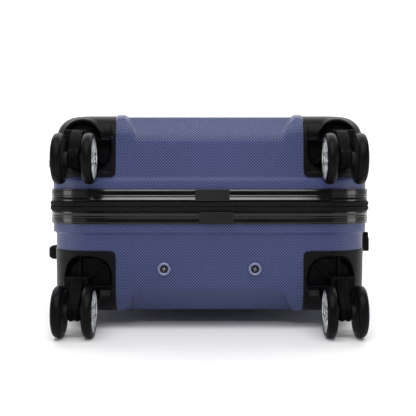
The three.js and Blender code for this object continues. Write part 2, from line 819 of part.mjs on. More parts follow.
addPiece("lock_body", lockBody(), finishes.blackPlastic);
dialPlaces().forEach((y, i) => {
  const dial = rod("y", [0, 0], dialRadius, -dialWidth / 2, dialWidth / 2, wheelSides);
  addPiece(`lock_dial_${i + 1}`, dial, finishes.greyPlastic).position.set(dialX, y, dialZ);
});
const release = box([0, -releaseHalfLength, -releaseHalfHeight],
  [releaseThickness, releaseHalfLength, releaseHalfHeight]);
addPiece("lock_release", release, finishes.greyPlastic)
  .position.set(releaseX, lockLow + releaseFromLockEnd, dialZ);

/** A zip slider with the puller that tucks towards the lock. */
function zipSlider() {
  const inside = halfWidth + tapeOuter + gap + 0.1;
  const outside = inside + sliderThickness;
  const body = box([inside, -sliderLength / 2, -sliderHalfHeight],
    [outside, sliderLength / 2, sliderHalfHeight]);
  const outline = roundedRectangle(pullerWidth / 2, (pullerReach - 1) / 2, 2,
    [0, -(pullerReach + 1) / 2]);
  const face = outside - 0.6;
  return body.add(prism(outline, "x", face - pullerThickness, face));
}

sliderFromEnd.forEach((distance, i) => {
  const name = `zip_slider_${i === 0 ? "lower" : "upper"}`;
  addPiece(name, zipSlider(), finishes.steel).position.set(0, -halfLength + distance, 0);
});

// ---------------------------------------------------------------- casters

/** A caster's fork with its kingpin and stub axle; the origin is where the swivel axis meets
 *  the end wall, outwards is -Y and the wheels hang towards -Z. */
function casterFork() {
  const half = armWidth / 2;
  const offset = barrelRadius * Math.SQRT1_2;
  const out = (w) => -w;
  const arm = prism([
    [out(crownLift), barrelRadius],
    [out(crownLift), -crownRadius + 0.5],
    [out(wheelOut - offset), -wheelTrail - offset],
    [out(wheelOut + offset), -wheelTrail + offset],
    [out(crownLift + crownThickness + 3), barrelRadius],
  ], "x", -half, half);
  return joined(
    arm,
    rod("y", [0, 0], crownRadius, out(crownLift + crownThickness), out(crownLift)),
    rod("y", [0, 0], pinRadius, out(crownLift + 1), pinHoleDepth - pinEndClearance),
    rod("x", [out(wheelOut), -wheelTrail], barrelRadius, -half, half, wheelSides),
    rod("x", [out(wheelOut), -wheelTrail], axleRadius, -axleHalfLength, axleHalfLength),
  );
}

/** A tyre about the X axis, on the outer side of the fork. */
function tyre() {
  const bore = hubRadius + gap;
  return turnedAboutX([
    [bore, tyreInnerFace],
    [wheelRadius - tyreShoulder, tyreInnerFace],
    [wheelRadius, tyreInnerFace + tyreShoulder],
    [wheelRadius, tyreOuterFace - tyreShoulder],
    [wheelRadius - tyreShoulder, tyreOuterFace],
    [bore, tyreOuterFace],
    [bore, tyreInnerFace],
  ], wheelSides);
}

/** A hub about the X axis, with a blind bore that runs on the stub axle. */
function wheelHub() {
  const collarFace = armWidth / 2 + collarClearance;
  const bore = axleRadius + gap;
  const innerFace = tyreInnerFace + hubInset;
  const outerFace = tyreOuterFace - hubInset;
  return turnedAboutX([
    [bore, collarFace],
    [collarRadius, collarFace],
    [collarRadius, innerFace],
    [hubRadius, innerFace],
    [hubRadius, outerFace],
    [0, outerFace],
    [0, axleHalfLength + 0.5],
    [bore, axleHalfLength + 0.5],
    [bore, collarFace],
  ], wheelSides);
}

for (const { end, side, depth } of halves) {
  for (const { hand, sign } of hands) {
    const caster = new THREE.Group();
    caster.position.set(sign * swivelX, -endPlane, side * (depth - swivelInset));
    suitcase.add(caster);
    const place = `${end}_${hand}`;
    addPiece(`caster_fork_${place}`, casterFork(), finishes.blackPlastic, caster);
    for (const [wheel, facing] of [["inner", -sign], ["outer", sign]]) {
      const turned = new THREE.Group();
      turned.position.set(0, -wheelOut, -wheelTrail);
      turned.rotation.z = facing > 0 ? 0 : Math.PI;
      caster.add(turned);
      addPiece(`tyre_${place}_${wheel}`, tyre(), finishes.tyre, turned);
      addPiece(`hub_${place}_${wheel}`, wheelHub(), finishes.hub, turned);
    }
  }
}

// ---------------------------------------------------------------- the row's own frame

const lowest = -(backDepth - swivelInset) - wheelTrail - wheelRadius;
const endMost = -endPlane - wheelOut - wheelRadius;
const topMost = Math.max(buttonTop, topHandleWall + handleBarTop);
suitcase.position.set(0, -(endMost + topMost) / 2, -lowest);

export default suitcase;
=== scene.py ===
"""Visual model of a hard shell cabin suitcase that lies on its back.

Every piece is built in the case's own millimetres (x across the case, y towards the trolley
handle, z through the front face, with z = 0 in the middle of the zip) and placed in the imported
frame by the Datum, which reads the frame's nodes.
"""

from __future__ import annotations

import functools
import logging
import math
from dataclasses import dataclass, field
from enum import Enum
from typing import Any, Callable, Iterable, Mapping, Sequence

import bmesh
import bpy
import numpy as np
from mathutils import Matrix, Vector

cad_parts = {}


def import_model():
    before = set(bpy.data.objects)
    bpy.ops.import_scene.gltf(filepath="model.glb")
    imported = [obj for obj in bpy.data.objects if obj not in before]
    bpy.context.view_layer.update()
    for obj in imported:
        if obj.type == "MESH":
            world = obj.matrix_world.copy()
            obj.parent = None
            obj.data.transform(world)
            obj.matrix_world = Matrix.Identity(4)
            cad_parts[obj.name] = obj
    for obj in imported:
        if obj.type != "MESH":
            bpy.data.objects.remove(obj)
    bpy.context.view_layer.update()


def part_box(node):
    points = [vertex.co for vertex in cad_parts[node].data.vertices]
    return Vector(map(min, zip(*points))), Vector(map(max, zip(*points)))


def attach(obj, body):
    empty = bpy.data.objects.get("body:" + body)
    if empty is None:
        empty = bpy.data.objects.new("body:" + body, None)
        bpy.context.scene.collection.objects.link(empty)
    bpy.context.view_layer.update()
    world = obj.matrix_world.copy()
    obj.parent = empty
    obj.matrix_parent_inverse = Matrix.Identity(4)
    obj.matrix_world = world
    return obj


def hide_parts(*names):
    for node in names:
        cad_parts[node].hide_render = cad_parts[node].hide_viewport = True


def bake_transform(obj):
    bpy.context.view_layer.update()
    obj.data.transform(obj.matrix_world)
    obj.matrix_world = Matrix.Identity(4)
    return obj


log = logging.getLogger("suitcase")

MM = 0.001
HANDS = {"left": -1, "right": 1}
SIGNS = (-1, 1)
# How far the wheel end's wall lies inside the rims' faces: the shell's inset and its step.
END_WALL = 5.6
Colour = tuple[float, float, float]
Point = Sequence[float]


# ------------------------------------------------------------------ node graphs


class Socket:
    """An output socket in a node graph, with the arithmetic that the finishes use."""

    def __init__(self, graph: Graph, link: bpy.types.NodeSocket) -> None:
        """Keeps the graph that the socket belongs to and the socket itself."""
        self.graph = graph
        self.link = link

    def _maths(self, operation: str, *values: Any) -> Socket:
        """Adds one Math node on this graph."""
        return self.graph.add("ShaderNodeMath", {"operation": operation}, dict(enumerate(values)))

    def sibling(self, output: int | str) -> Socket:
        """Another output of the same node."""
        return Socket(self.graph, self.link.node.outputs[output])

    def __add__(self, other: Any) -> Socket:
        """This value plus another."""
        return self._maths("ADD", self, other)

    def __sub__(self, other: Any) -> Socket:
        """This value less another."""
        return self._maths("SUBTRACT", self, other)

    def __rsub__(self, other: Any) -> Socket:
        """Another value less this one."""
        return self._maths("SUBTRACT", other, self)

    def __mul__(self, other: Any) -> Socket:
        """This value times another."""
        return self._maths("MULTIPLY", self, other)

    __radd__ = __add__
    __rmul__ = __mul__

    def sine(self) -> Socket:
        """The sine of this value."""
        return self._maths("SINE", self)

    def size(self) -> Socket:
        """This value without its sign."""
        return self._maths("ABSOLUTE", self)

    def between(self, low: float, high: float) -> Socket:
        """A smooth step from 0 at low to 1 at high."""
        inputs = {"Value": self, "From Min": low, "From Max": high}
        return self.graph.add("ShaderNodeMapRange", {"interpolation_type": "SMOOTHSTEP"}, inputs)


class Graph:
    """A node tree and the one method that adds any node to it."""

    def __init__(self, tree: bpy.types.NodeTree) -> None:
        """Starts on an empty tree."""
        self.tree = tree
        tree.nodes.clear()

    def add(
        self,
        kind: str,
        settings: Mapping[str, Any] | None = None,
        inputs: Mapping[Any, Any] | None = None,
        output: int | str = 0,
    ) -> Socket:
        """Adds a node.

        Args:
            kind: The node's type.
            settings: Its own properties, set first; "stops" are a ramp's (place, colour) pairs.
            inputs: Values or sockets by the name or number of the node's input.
            output: The output to return.

        Returns:
            The chosen output, or the node itself where it has none.
        """
        node = self.tree.nodes.new(kind)
        for name, value in (settings or {}).items():
            if name == "stops":
                while len(node.color_ramp.elements) < len(value):
                    node.color_ramp.elements.new(1.0)
                for element, (place, colour) in zip(node.color_ramp.elements, value):
                    element.position = place
                    element.color = (*colour, 1.0)
            else:
                setattr(node, name, value)
        for name, value in (inputs or {}).items():
            if isinstance(value, Socket):
                self.tree.links.new(value.link, node.inputs[name])
            else:
                node.inputs[name].default_value = value
        return Socket(self, node.outputs[output]) if len(node.outputs) else node


class MaterialGraph(Graph):
    """The node tree of one material."""

    def __init__(self, name: str) -> None:
        """Makes the material and its empty tree."""
        self.material = bpy.data.materials.new(name)
        self.material.use_nodes = True
        super().__init__(self.material.node_tree)

    def place(self, output: str = "Object") -> Socket:
        """The point on the surface, in the piece's own metres or on its UV map."""
        return self.add("ShaderNodeTexCoord", output=output)

    def axes(self, vector: Socket) -> list[Socket]:
        """The three parts of a vector."""
        first = self.add("ShaderNodeSeparateXYZ", inputs={0: vector})
        return [first.sibling(i) for i in range(3)]

    def noise(self, vector: Socket, scale: float, detail: float = 2.0) -> Socket:
        """A soft noise from 0 to 1."""
        return self.add("ShaderNodeTexNoise",
                        inputs={"Vector": vector, "Scale": scale, "Detail": detail})

    def mix(self, share: Any, low: Any, high: Any) -> Socket:
        """A colour between two others."""
        low, high = ((*c, 1.0) if isinstance(c, tuple) else c for c in (low, high))
        return self.add("ShaderNodeMix", {"data_type": "RGBA"}, {0: share, 6: low, 7: high}, 2)

    def bump(self, height: Socket, distance: float) -> Socket:
        """A normal pushed about by a height from 0 to 1 over a distance in metres."""
        return self.add("ShaderNodeBump", inputs={"Height": height, "Distance": distance})

    def finish(self, **inputs: Any) -> bpy.types.Material:
        """Ends the graph in a surface shader.

        Args:
            inputs: The shader's inputs, with _ for the spaces of their names.

        Returns:
            The finished material.
        """
        named = {name.replace("_", " "): (*value, 1.0) if isinstance(value, tuple) else value
                 for name, value in inputs.items()}
        shader = self.add("ShaderNodeBsdfPrincipled", inputs=named)
        self.add("ShaderNodeOutputMaterial", inputs={"Surface": shader})
        return self.material


# ------------------------------------------------------------------ finishes


@dataclass(frozen=True)
class WovenShell:
    """Navy sheet with a fine pressed diamond grain, read from the shell's UV map in metres."""

    name: str = "woven_navy"
    valley: Colour = (0.003, 0.009, 0.052)
    peak: Colour = (0.095, 0.118, 0.285)
    pitch: float = 0.0032
    relief: float = 0.00022
    roughness: float = 0.36

    def material(self) -> bpy.types.Material:
        """Builds the material."""
        g = MaterialGraph(self.name)
        across, along, _ = g.axes(g.place("UV"))
        turn = 2 * math.pi / self.pitch
        warp = ((across + along) * turn).sine() * 0.5 + 0.5
        weft = ((across - along) * turn).sine() * 0.5 + 0.5
        grain = warp * weft
        drift = g.noise(g.place(), 9.0, 1.0)
        wear = g.noise(g.place(), 140.0, 4.0)
        colour = g.mix(grain * 1.1 + drift * 0.16, self.valley, self.peak)
        return g.finish(
            Base_Color=colour,
            Roughness=self.roughness + wear * 0.14 - grain * 0.08,
            Normal=g.bump(grain, self.relief),
            Coat_Weight=0.12,
            Coat_Roughness=0.3,
            Specular_IOR_Level=0.3,
        )


@dataclass(frozen=True)
class Moulding:
    """Moulded plastic with a fine spark grain and slightly worn shine."""

    name: str
    colour: Colour
    roughness: float
    grain: float = 0.00004
    grain_scale: float = 1600.0
    shine: float = 0.25

    def material(self) -> bpy.types.Material:
        """Builds the material."""
        g = MaterialGraph(self.name)
        place = g.place()
        grain = g.noise(place, self.grain_scale, 1.0)
        cloud = g.noise(place, 30.0, 3.0)
        lighter = tuple(min(1.0, part * 1.4 + 0.0008) for part in self.colour)
        return g.finish(
            Base_Color=g.mix(cloud.between(0.3, 0.75), self.colour, lighter),
            Roughness=self.roughness + cloud * 0.12 - 0.06,
            Normal=g.bump(grain, self.grain),
            Specular_IOR_Level=self.shine,
        )


@dataclass(frozen=True)
class Metal:
    """Plated or anodised metal with a drawn grain along one axis."""

    name: str
    colour: Colour
    roughness: float
    grain_axis: int = 1
    metallic: float = 1.0

    def material(self) -> bpy.types.Material:
        """Builds the material."""
        g = MaterialGraph(self.name)
        stretch = [900.0, 900.0, 900.0]
        stretch[self.grain_axis] = 14.0
        place = g.add("ShaderNodeVectorMath", {"operation": "MULTIPLY"}, {0: g.place(), 1: stretch})
        grain = g.noise(place, 1.0, 2.0)
        darker = tuple(part * 0.78 for part in self.colour)
        return g.finish(
            Base_Color=g.mix(grain, darker, self.colour),
            Roughness=self.roughness + grain * 0.12,
            Metallic=self.metallic,
            Normal=g.bump(grain, 0.00001),
        )


@dataclass(frozen=True)
class Weave:
    """Plain woven cloth or tape, read from Object coordinates."""

    name: str
    dark: Colour
    light: Colour
    thread: float = 0.0009
    relief: float = 0.00018
    sheen: float = 0.12

    def material(self) -> bpy.types.Material:
        """Builds the material."""
        g = MaterialGraph(self.name)
        x, y, z = g.axes(g.place())
        turn = 2 * math.pi / self.thread
        warp = ((x + z) * turn).sine()
        weft = ((y + z * 0.5) * turn).sine()
        cloth = (warp * weft) * 0.5 + 0.5
        fuzz = g.noise(g.place(), 700.0, 3.0)
        return g.finish(
            Base_Color=g.mix(cloth * 0.6 + fuzz * 0.4, self.dark, self.light),
            Roughness=0.86 - cloth * 0.08,
            Sheen_Weight=self.sheen,
            Sheen_Roughness=0.4,
            Specular_IOR_Level=0.1,
            Normal=g.bump(cloth, self.relief),
        )


@dataclass(frozen=True)
class Ground:
    """The pale floor."""

    name: str = "studio_floor"
    colour: Colour = (0.9, 0.9, 0.9)

    def material(self) -> bpy.types.Material:
        """Builds the material."""
        return MaterialGraph(self.name).finish(Base_Color=self.colour, Roughness=0.55)


@functools.cache
def built_material(recipe: WovenShell | Moulding | Metal | Weave | Ground) -> bpy.types.Material:
    """The material of a recipe, built once."""
    return recipe.material()


class Finish(Enum):
    """The finishes of the case; each value is the recipe of one material."""

    SHELL = WovenShell()
    RIM = Moulding("rim_gloss_black", (0.002, 0.002, 0.0022), 0.15, 0.000012, 900.0, 0.36)
    BLACK = Moulding("satin_black", (0.0036, 0.0032, 0.0036), 0.38, shine=0.08)
    FORK = Moulding("fork_black", (0.0028, 0.0026, 0.0028), 0.44, shine=0.02)
    JOINER = Moulding("joiner_plastic", (0.007, 0.007, 0.0075), 0.5, shine=0.18)
    GREY = Moulding("satin_grey", (0.06, 0.061, 0.066), 0.45)
    DIGIT = Moulding("digit_white", (0.62, 0.62, 0.6), 0.5)
    TYRE = Moulding("rubber_black", (0.0016, 0.0013, 0.0016), 0.4, 0.00003, 900.0, shine=0.08)
    WELL = Moulding("hub_well_black", (0.006, 0.006, 0.006), 0.6)
    HUB = Metal("plated_silver", (0.62, 0.63, 0.66), 0.26, 0, 0.75)
    ALUMINIUM = Metal("trolley_aluminium", (0.62, 0.63, 0.65), 0.28)
    STEEL = Metal("dark_steel", (0.3, 0.31, 0.34), 0.3)
    RING = Metal("screw_ring", (0.2, 0.22, 0.36), 0.4, 0, 0.4)
    TAPE = Weave("zip_tape", (0.0015, 0.0015, 0.0015), (0.007, 0.0066, 0.007), sheen=0.01)
    THREAD = Moulding("black_thread", (0.05, 0.045, 0.045), 0.7)
    LINING = Weave("lining_cloth", (0.05, 0.052, 0.058), (0.12, 0.124, 0.135), 0.0014)
    STRAP = Weave("strap_webbing", (0.012, 0.012, 0.013), (0.05, 0.05, 0.053), 0.0016, 0.0003)
    FLOOR = Ground()

    def material(self) -> bpy.types.Material:
        """The finish's material, built once."""
        return built_material(self.value)


# ------------------------------------------------------------------ shapes


def rounded_rectangle(half_u: float, half_v: float, radius: float, steps: int = 6,
                      centre: tuple[float, float] = (0.0, 0.0)) -> list[tuple[float, float]]:
    """A rectangle with round corners, anticlockwise.

    Args:
        half_u: Half of its first side.
        half_v: Half of its second side.
        radius: Radius of its corners.
        steps: Facets in each corner.
        centre: Its middle.

    Returns:
        The outline's points.
    """
    points = []
    corners = ((1, -1), (1, 1), (-1, 1), (-1, -1))
    for quarter, (su, sv) in enumerate(corners):
        for step in range(steps + 1):
            angle = (quarter - 1 + step / steps) * math.pi / 2
            points.append((
                centre[0] + su * (half_u - radius) + radius * math.cos(angle),
                centre[1] + sv * (half_v - radius) + radius * math.sin(angle),
            ))
    return points


class Shape:
    """Points and faces in millimetres, gathered before they become a piece's mesh."""

    def __init__(self) -> None:
        """Starts empty."""
        self.points: list[Vector] = []
        self.faces: list[tuple[int, ...]] = []
        self.finishes: list[int] = []
        self.uvs: list[list[tuple[float, float]] | None] = []

    def face(self, corners: Sequence[int], finish: int = 0,
             uvs: list[tuple[float, float]] | None = None) -> None:
        """Adds one face, by the numbers of its points."""
        self.faces.append(tuple(corners))
        self.finishes.append(finish)
        self.uvs.append(uvs)

    def add(self, points: Iterable[Point]) -> range:
        """Adds points and returns their numbers."""
        first = len(self.points)
        self.points.extend(Vector(p) for p in points)
        return range(first, len(self.points))

    def join(self, other: Shape, matrix: Matrix | None = None, finish: int | None = None) -> None:
        """Adds a copy of another shape.

        Args:
            other: The shape to copy.
            matrix: Where it goes; a mirroring matrix turns its faces round.
            finish: A finish number for all its faces, or its own ones.
        """
        matrix = matrix or Matrix.Identity(4)
        flip = matrix.to_3x3().determinant() < 0
        first = len(self.points)
        self.points.extend(matrix @ p for p in other.points)
        for corners, own, uvs in zip(other.faces, other.finishes, other.uvs):
            moved = tuple(first + i for i in corners)
            if flip:
                moved, uvs = moved[::-1], uvs[::-1] if uvs else None
            self.face(moved, own if finish is None else finish, uvs)

    def placed(self, matrix: Matrix) -> Shape:
        """A copy of the shape, moved by a matrix."""
        copy = Shape()
        copy.join(self, matrix)
        return copy

    def loft(self, rings: Sequence[Sequence[Point]], caps: tuple[bool, bool] = (True, True),
             loop: bool = False, finish: int = 0) -> None:
        """Joins closed rings of equal length; they turn anticlockwise about the way they go.

        Args:
            rings: The rings, in order.
            caps: Whether the first and the last ring are closed by a face.
            loop: Whether the last ring joins the first.
            finish: Finish number of the faces.
        """
        numbers = [self.add(ring) for ring in rings]
        count = len(rings[0])
        pairs = list(zip(numbers, numbers[1:]))
        if loop:
            pairs.append((numbers[-1], numbers[0]))
        for low, high in pairs:
            for j in range(count):
                k = (j + 1) % count
                self.face((low[j], low[k], high[k], high[j]), finish)
        if caps[0] and not loop:
            self.face(numbers[0][::-1], finish)
        if caps[1] and not loop:
            self.face(numbers[-1], finish)

    def block(self, outline: Callable[[float], list[tuple[float, float]]], axis: str,
              low: float, high: float, edge: float = 0.6, steps: int = 3,
              finish: int = 0) -> None:
        """A plate or bar between two levels, with rounded edges at both.

        Args:
            outline: Gives the outline's (u, v) points, moved in by a distance.
            axis: The axis it runs along; (u, v) is (y, z), (x, z) or (x, y) for x, y, z.
            low: Its lower level.
            high: Its upper level.
            edge: Radius of its edges.
            steps: Facets in each edge.
            finish: Finish number of the faces.
        """
        levels = []
        for step in range(steps + 1):
            angle = step / steps * math.pi / 2
            levels.append((edge * (1 - math.sin(angle)), low + edge * (1 - math.cos(angle))))
        levels += [(inset, low + high - level) for inset, level in reversed(levels)]
        rings = []
        for inset, level in levels:
            ring = [{"x": (level, u, v), "y": (u, level, v), "z": (u, v, level)}[axis]
                    for u, v in outline(inset)]
            rings.append(ring[::-1] if axis == "y" else ring)
        self.loft(rings, finish=finish)

    def rounded_block(self, axis: str, centre: tuple[float, float], halves: tuple[float, float],
                      corner: float, low: float, high: float, edge: float = 0.6,
                      finish: int = 0) -> None:
        """A block with a rounded rectangular section.

        Args:
            axis: The axis it runs along, as in block.
            centre: The section's middle.
            halves: Half of the section's sides.
            corner: Radius of the section's corners.
            low: Its lower level.
            high: Its upper level.
            edge: Radius of its edges.
            finish: Finish number of the faces.
        """
        def outline(inset: float) -> list[tuple[float, float]]:
            """The section, moved in by a distance."""
            radius = max(corner - inset, 0.05)
            return rounded_rectangle(halves[0] - inset, halves[1] - inset, radius, 5, centre)
        self.block(outline, axis, low, high, edge, finish=finish)

    def turned(self, profile: Sequence[tuple[float, float]], axis: str, centre: Point,
               steps: int = 48, closed: bool = False, finish: int = 0) -> None:
        """Turns (radius, level) points about an axis; going up an axis, they run outside-right.

        Args:
            profile: The points; a zero radius at an end closes it.
            axis: The axis of turning.
            centre: The origin of the levels.
            steps: Facets round the axis.
            closed: Whether the profile joins its own start.
            finish: Finish number of the faces.
        """
        rings = []
        for radius, level in profile:
            ring = []
            for step in range(steps):
                angle = 2 * math.pi * step / steps
                u, v = max(radius, 1e-4) * math.cos(angle), max(radius, 1e-4) * math.sin(angle)
                place = {"x": (level, u, v), "y": (v, level, u), "z": (u, v, level)}[axis]
                ring.append(Vector(centre) + Vector(place))
            rings.append(ring)
        self.loft(rings, (not closed, not closed), closed, finish)


@dataclass(frozen=True)
class Datum:
    """Where the case's own millimetres lie in the frame, and the sizes read from it."""

    middle_y: float
    zip_z: float
    half_width: float
    half_length: float
    front_depth: float
    back_depth: float

    @classmethod
    def from_frame(cls) -> "Datum":
        """Reads the rims' and faces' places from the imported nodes."""
        (low, high), (_, back_high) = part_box("front_rim"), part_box("back_rim")
        zip_z = (low.z + back_high.z) / 2
        proud = CornerHousing.proud * MM
        front_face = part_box("housing_front_right")[1].z - proud
        back_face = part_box("housing_back_right")[0].z + proud
        return cls(
            middle_y=(low.y + high.y) / 2,
            zip_z=zip_z,
            half_width=high.x / MM,
            half_length=(high.y - low.y) / 2 / MM,
            front_depth=(front_face - zip_z) / MM,
            back_depth=(zip_z - back_face) / MM,
        )

    def point(self, p: Point) -> Vector:
        """A point of the case, in the frame's metres."""
        return Vector((p[0] * MM, self.middle_y + p[1] * MM, self.zip_z + p[2] * MM))

    def own(self, p: Point) -> Vector:
        """A point of the frame, in the case's own millimetres."""
        return Vector((p[0], p[1] - self.middle_y, p[2] - self.zip_z)) / MM

    def node(self, name: str) -> tuple[Vector, Vector]:
        """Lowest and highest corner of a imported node, in the case's own millimetres."""
        low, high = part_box(name)
        return self.own(low), self.own(high)

    def spans(self, name: str) -> tuple[Vector, Vector, Vector, Vector]:
        """A node's lowest and highest corner, its middle and its half sizes."""
        low, high = self.node(name)
        return low, high, (low + high) / 2, (high - low) / 2

    def matrix(self) -> Matrix:
        """The matrix from the case's millimetres to the frame's metres."""
        return Matrix.Translation((0, self.middle_y, self.zip_z)) @ Matrix.Scale(MM, 4)


class Workshop:
    """Turns shapes into pieces that ride on their bodies."""

    def __init__(self, datum: Datum) -> None:
        """Keeps the case's datum."""
        self.datum = datum

    def mesh(self, name: str, shape: Shape, weld: float = 0.0005) -> bpy.types.Mesh:
        """Makes a mesh of a shape, with its doubles merged.

        Args:
            name: The mesh's name.
            shape: The shape.
            weld: Points closer than this many millimetres become one.

        Returns:
            The mesh, in the frame's metres.
        """
        mesh = bpy.data.meshes.new(name)
        mesh.from_pydata(shape.points, [], shape.faces)
        mesh.polygons.foreach_set("material_index", shape.finishes)
        if any(shape.uvs):
            layer = mesh.uv_layers.new(name="surface")
            flat = [c for uvs, f in zip(shape.uvs, shape.faces) for uv in (uvs or [(0, 0)] * len(f))
                    for c in uv]
            layer.data.foreach_set("uv", np.array(flat, np.float32) * MM)
        build = bmesh.new()
        build.from_mesh(mesh)
        bmesh.ops.remove_doubles(build, verts=build.verts, dist=weld)
        bmesh.ops.dissolve_degenerate(build, edges=build.edges, dist=1e-5)
        build.transform(self.datum.matrix())
        build.to_mesh(mesh)
        build.free()
        return mesh

    def piece(self, name: str, shape: Shape | bpy.types.Mesh, body: str, slot: str,
              finishes: Sequence[Finish], replaces: Sequence[str] = (), smooth: float = 35.0,
              modify: Callable[[bpy.types.Object], None] | None = None) -> bpy.types.Object:
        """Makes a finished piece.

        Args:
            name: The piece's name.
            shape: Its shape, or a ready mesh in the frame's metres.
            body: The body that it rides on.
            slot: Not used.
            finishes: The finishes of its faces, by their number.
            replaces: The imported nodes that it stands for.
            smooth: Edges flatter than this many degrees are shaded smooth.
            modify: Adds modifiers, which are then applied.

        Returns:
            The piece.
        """
        mesh = self.mesh(name, shape) if isinstance(shape, Shape) else shape
        for finish in finishes:
            mesh.materials.append(finish.material())
        thing = in_scene(name, mesh)
        if modify:
            modify(thing)
            mesh = baked(thing)
        mesh.shade_smooth()
        mesh.set_sharp_from_angle(angle=math.radians(smooth))
        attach(thing, body)
        if replaces:
            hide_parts(*replaces)
        log.info("%s: %d faces on %s", name, len(mesh.polygons), body)
        return thing


def in_scene(name: str, data: bpy.types.ID) -> bpy.types.Object:
    """A new object in the scene that holds some data."""
    thing = bpy.data.objects.new(name, data)
    bpy.context.scene.collection.objects.link(thing)
    return thing


def walled(thickness: float, offset: float = -1.0,
           even: bool = False) -> Callable[[bpy.types.Object], None]:
    """Makes the function that gives a sheet its wall.

    Args:
        thickness: The wall in millimetres.
        offset: -1 for a wall inside the sheet and 0 for one about it.
        even: Whether the wall keeps its thickness round bends.

    Returns:
        The function for Workshop.piece to call.
    """
    def thicken(thing: bpy.types.Object) -> None:
        """Adds the modifier."""
        wall = thing.modifiers.new("wall", "SOLIDIFY")
        wall.thickness, wall.offset, wall.use_even_offset = thickness * MM, offset, even
    return thicken


def baked(thing: bpy.types.Object) -> bpy.types.Mesh:
    """Applies an object's modifiers and returns its new mesh."""
    bpy.context.view_layer.update()
    evaluated = thing.evaluated_get(bpy.context.evaluated_depsgraph_get())
    mesh = bpy.data.meshes.new_from_object(evaluated)
    thing.modifiers.clear()
    thing.data = mesh
    return mesh


def smooth_step(low: float, high: float, value: Any) -> Any:
    """A smooth step from 0 at low to 1 at high, for numbers and arrays."""
    share = np.clip((np.asarray(value, float) - low) / (high - low), 0, 1)
    return share * share * (3 - 2 * share)


# ------------------------------------------------------------------ the case's form


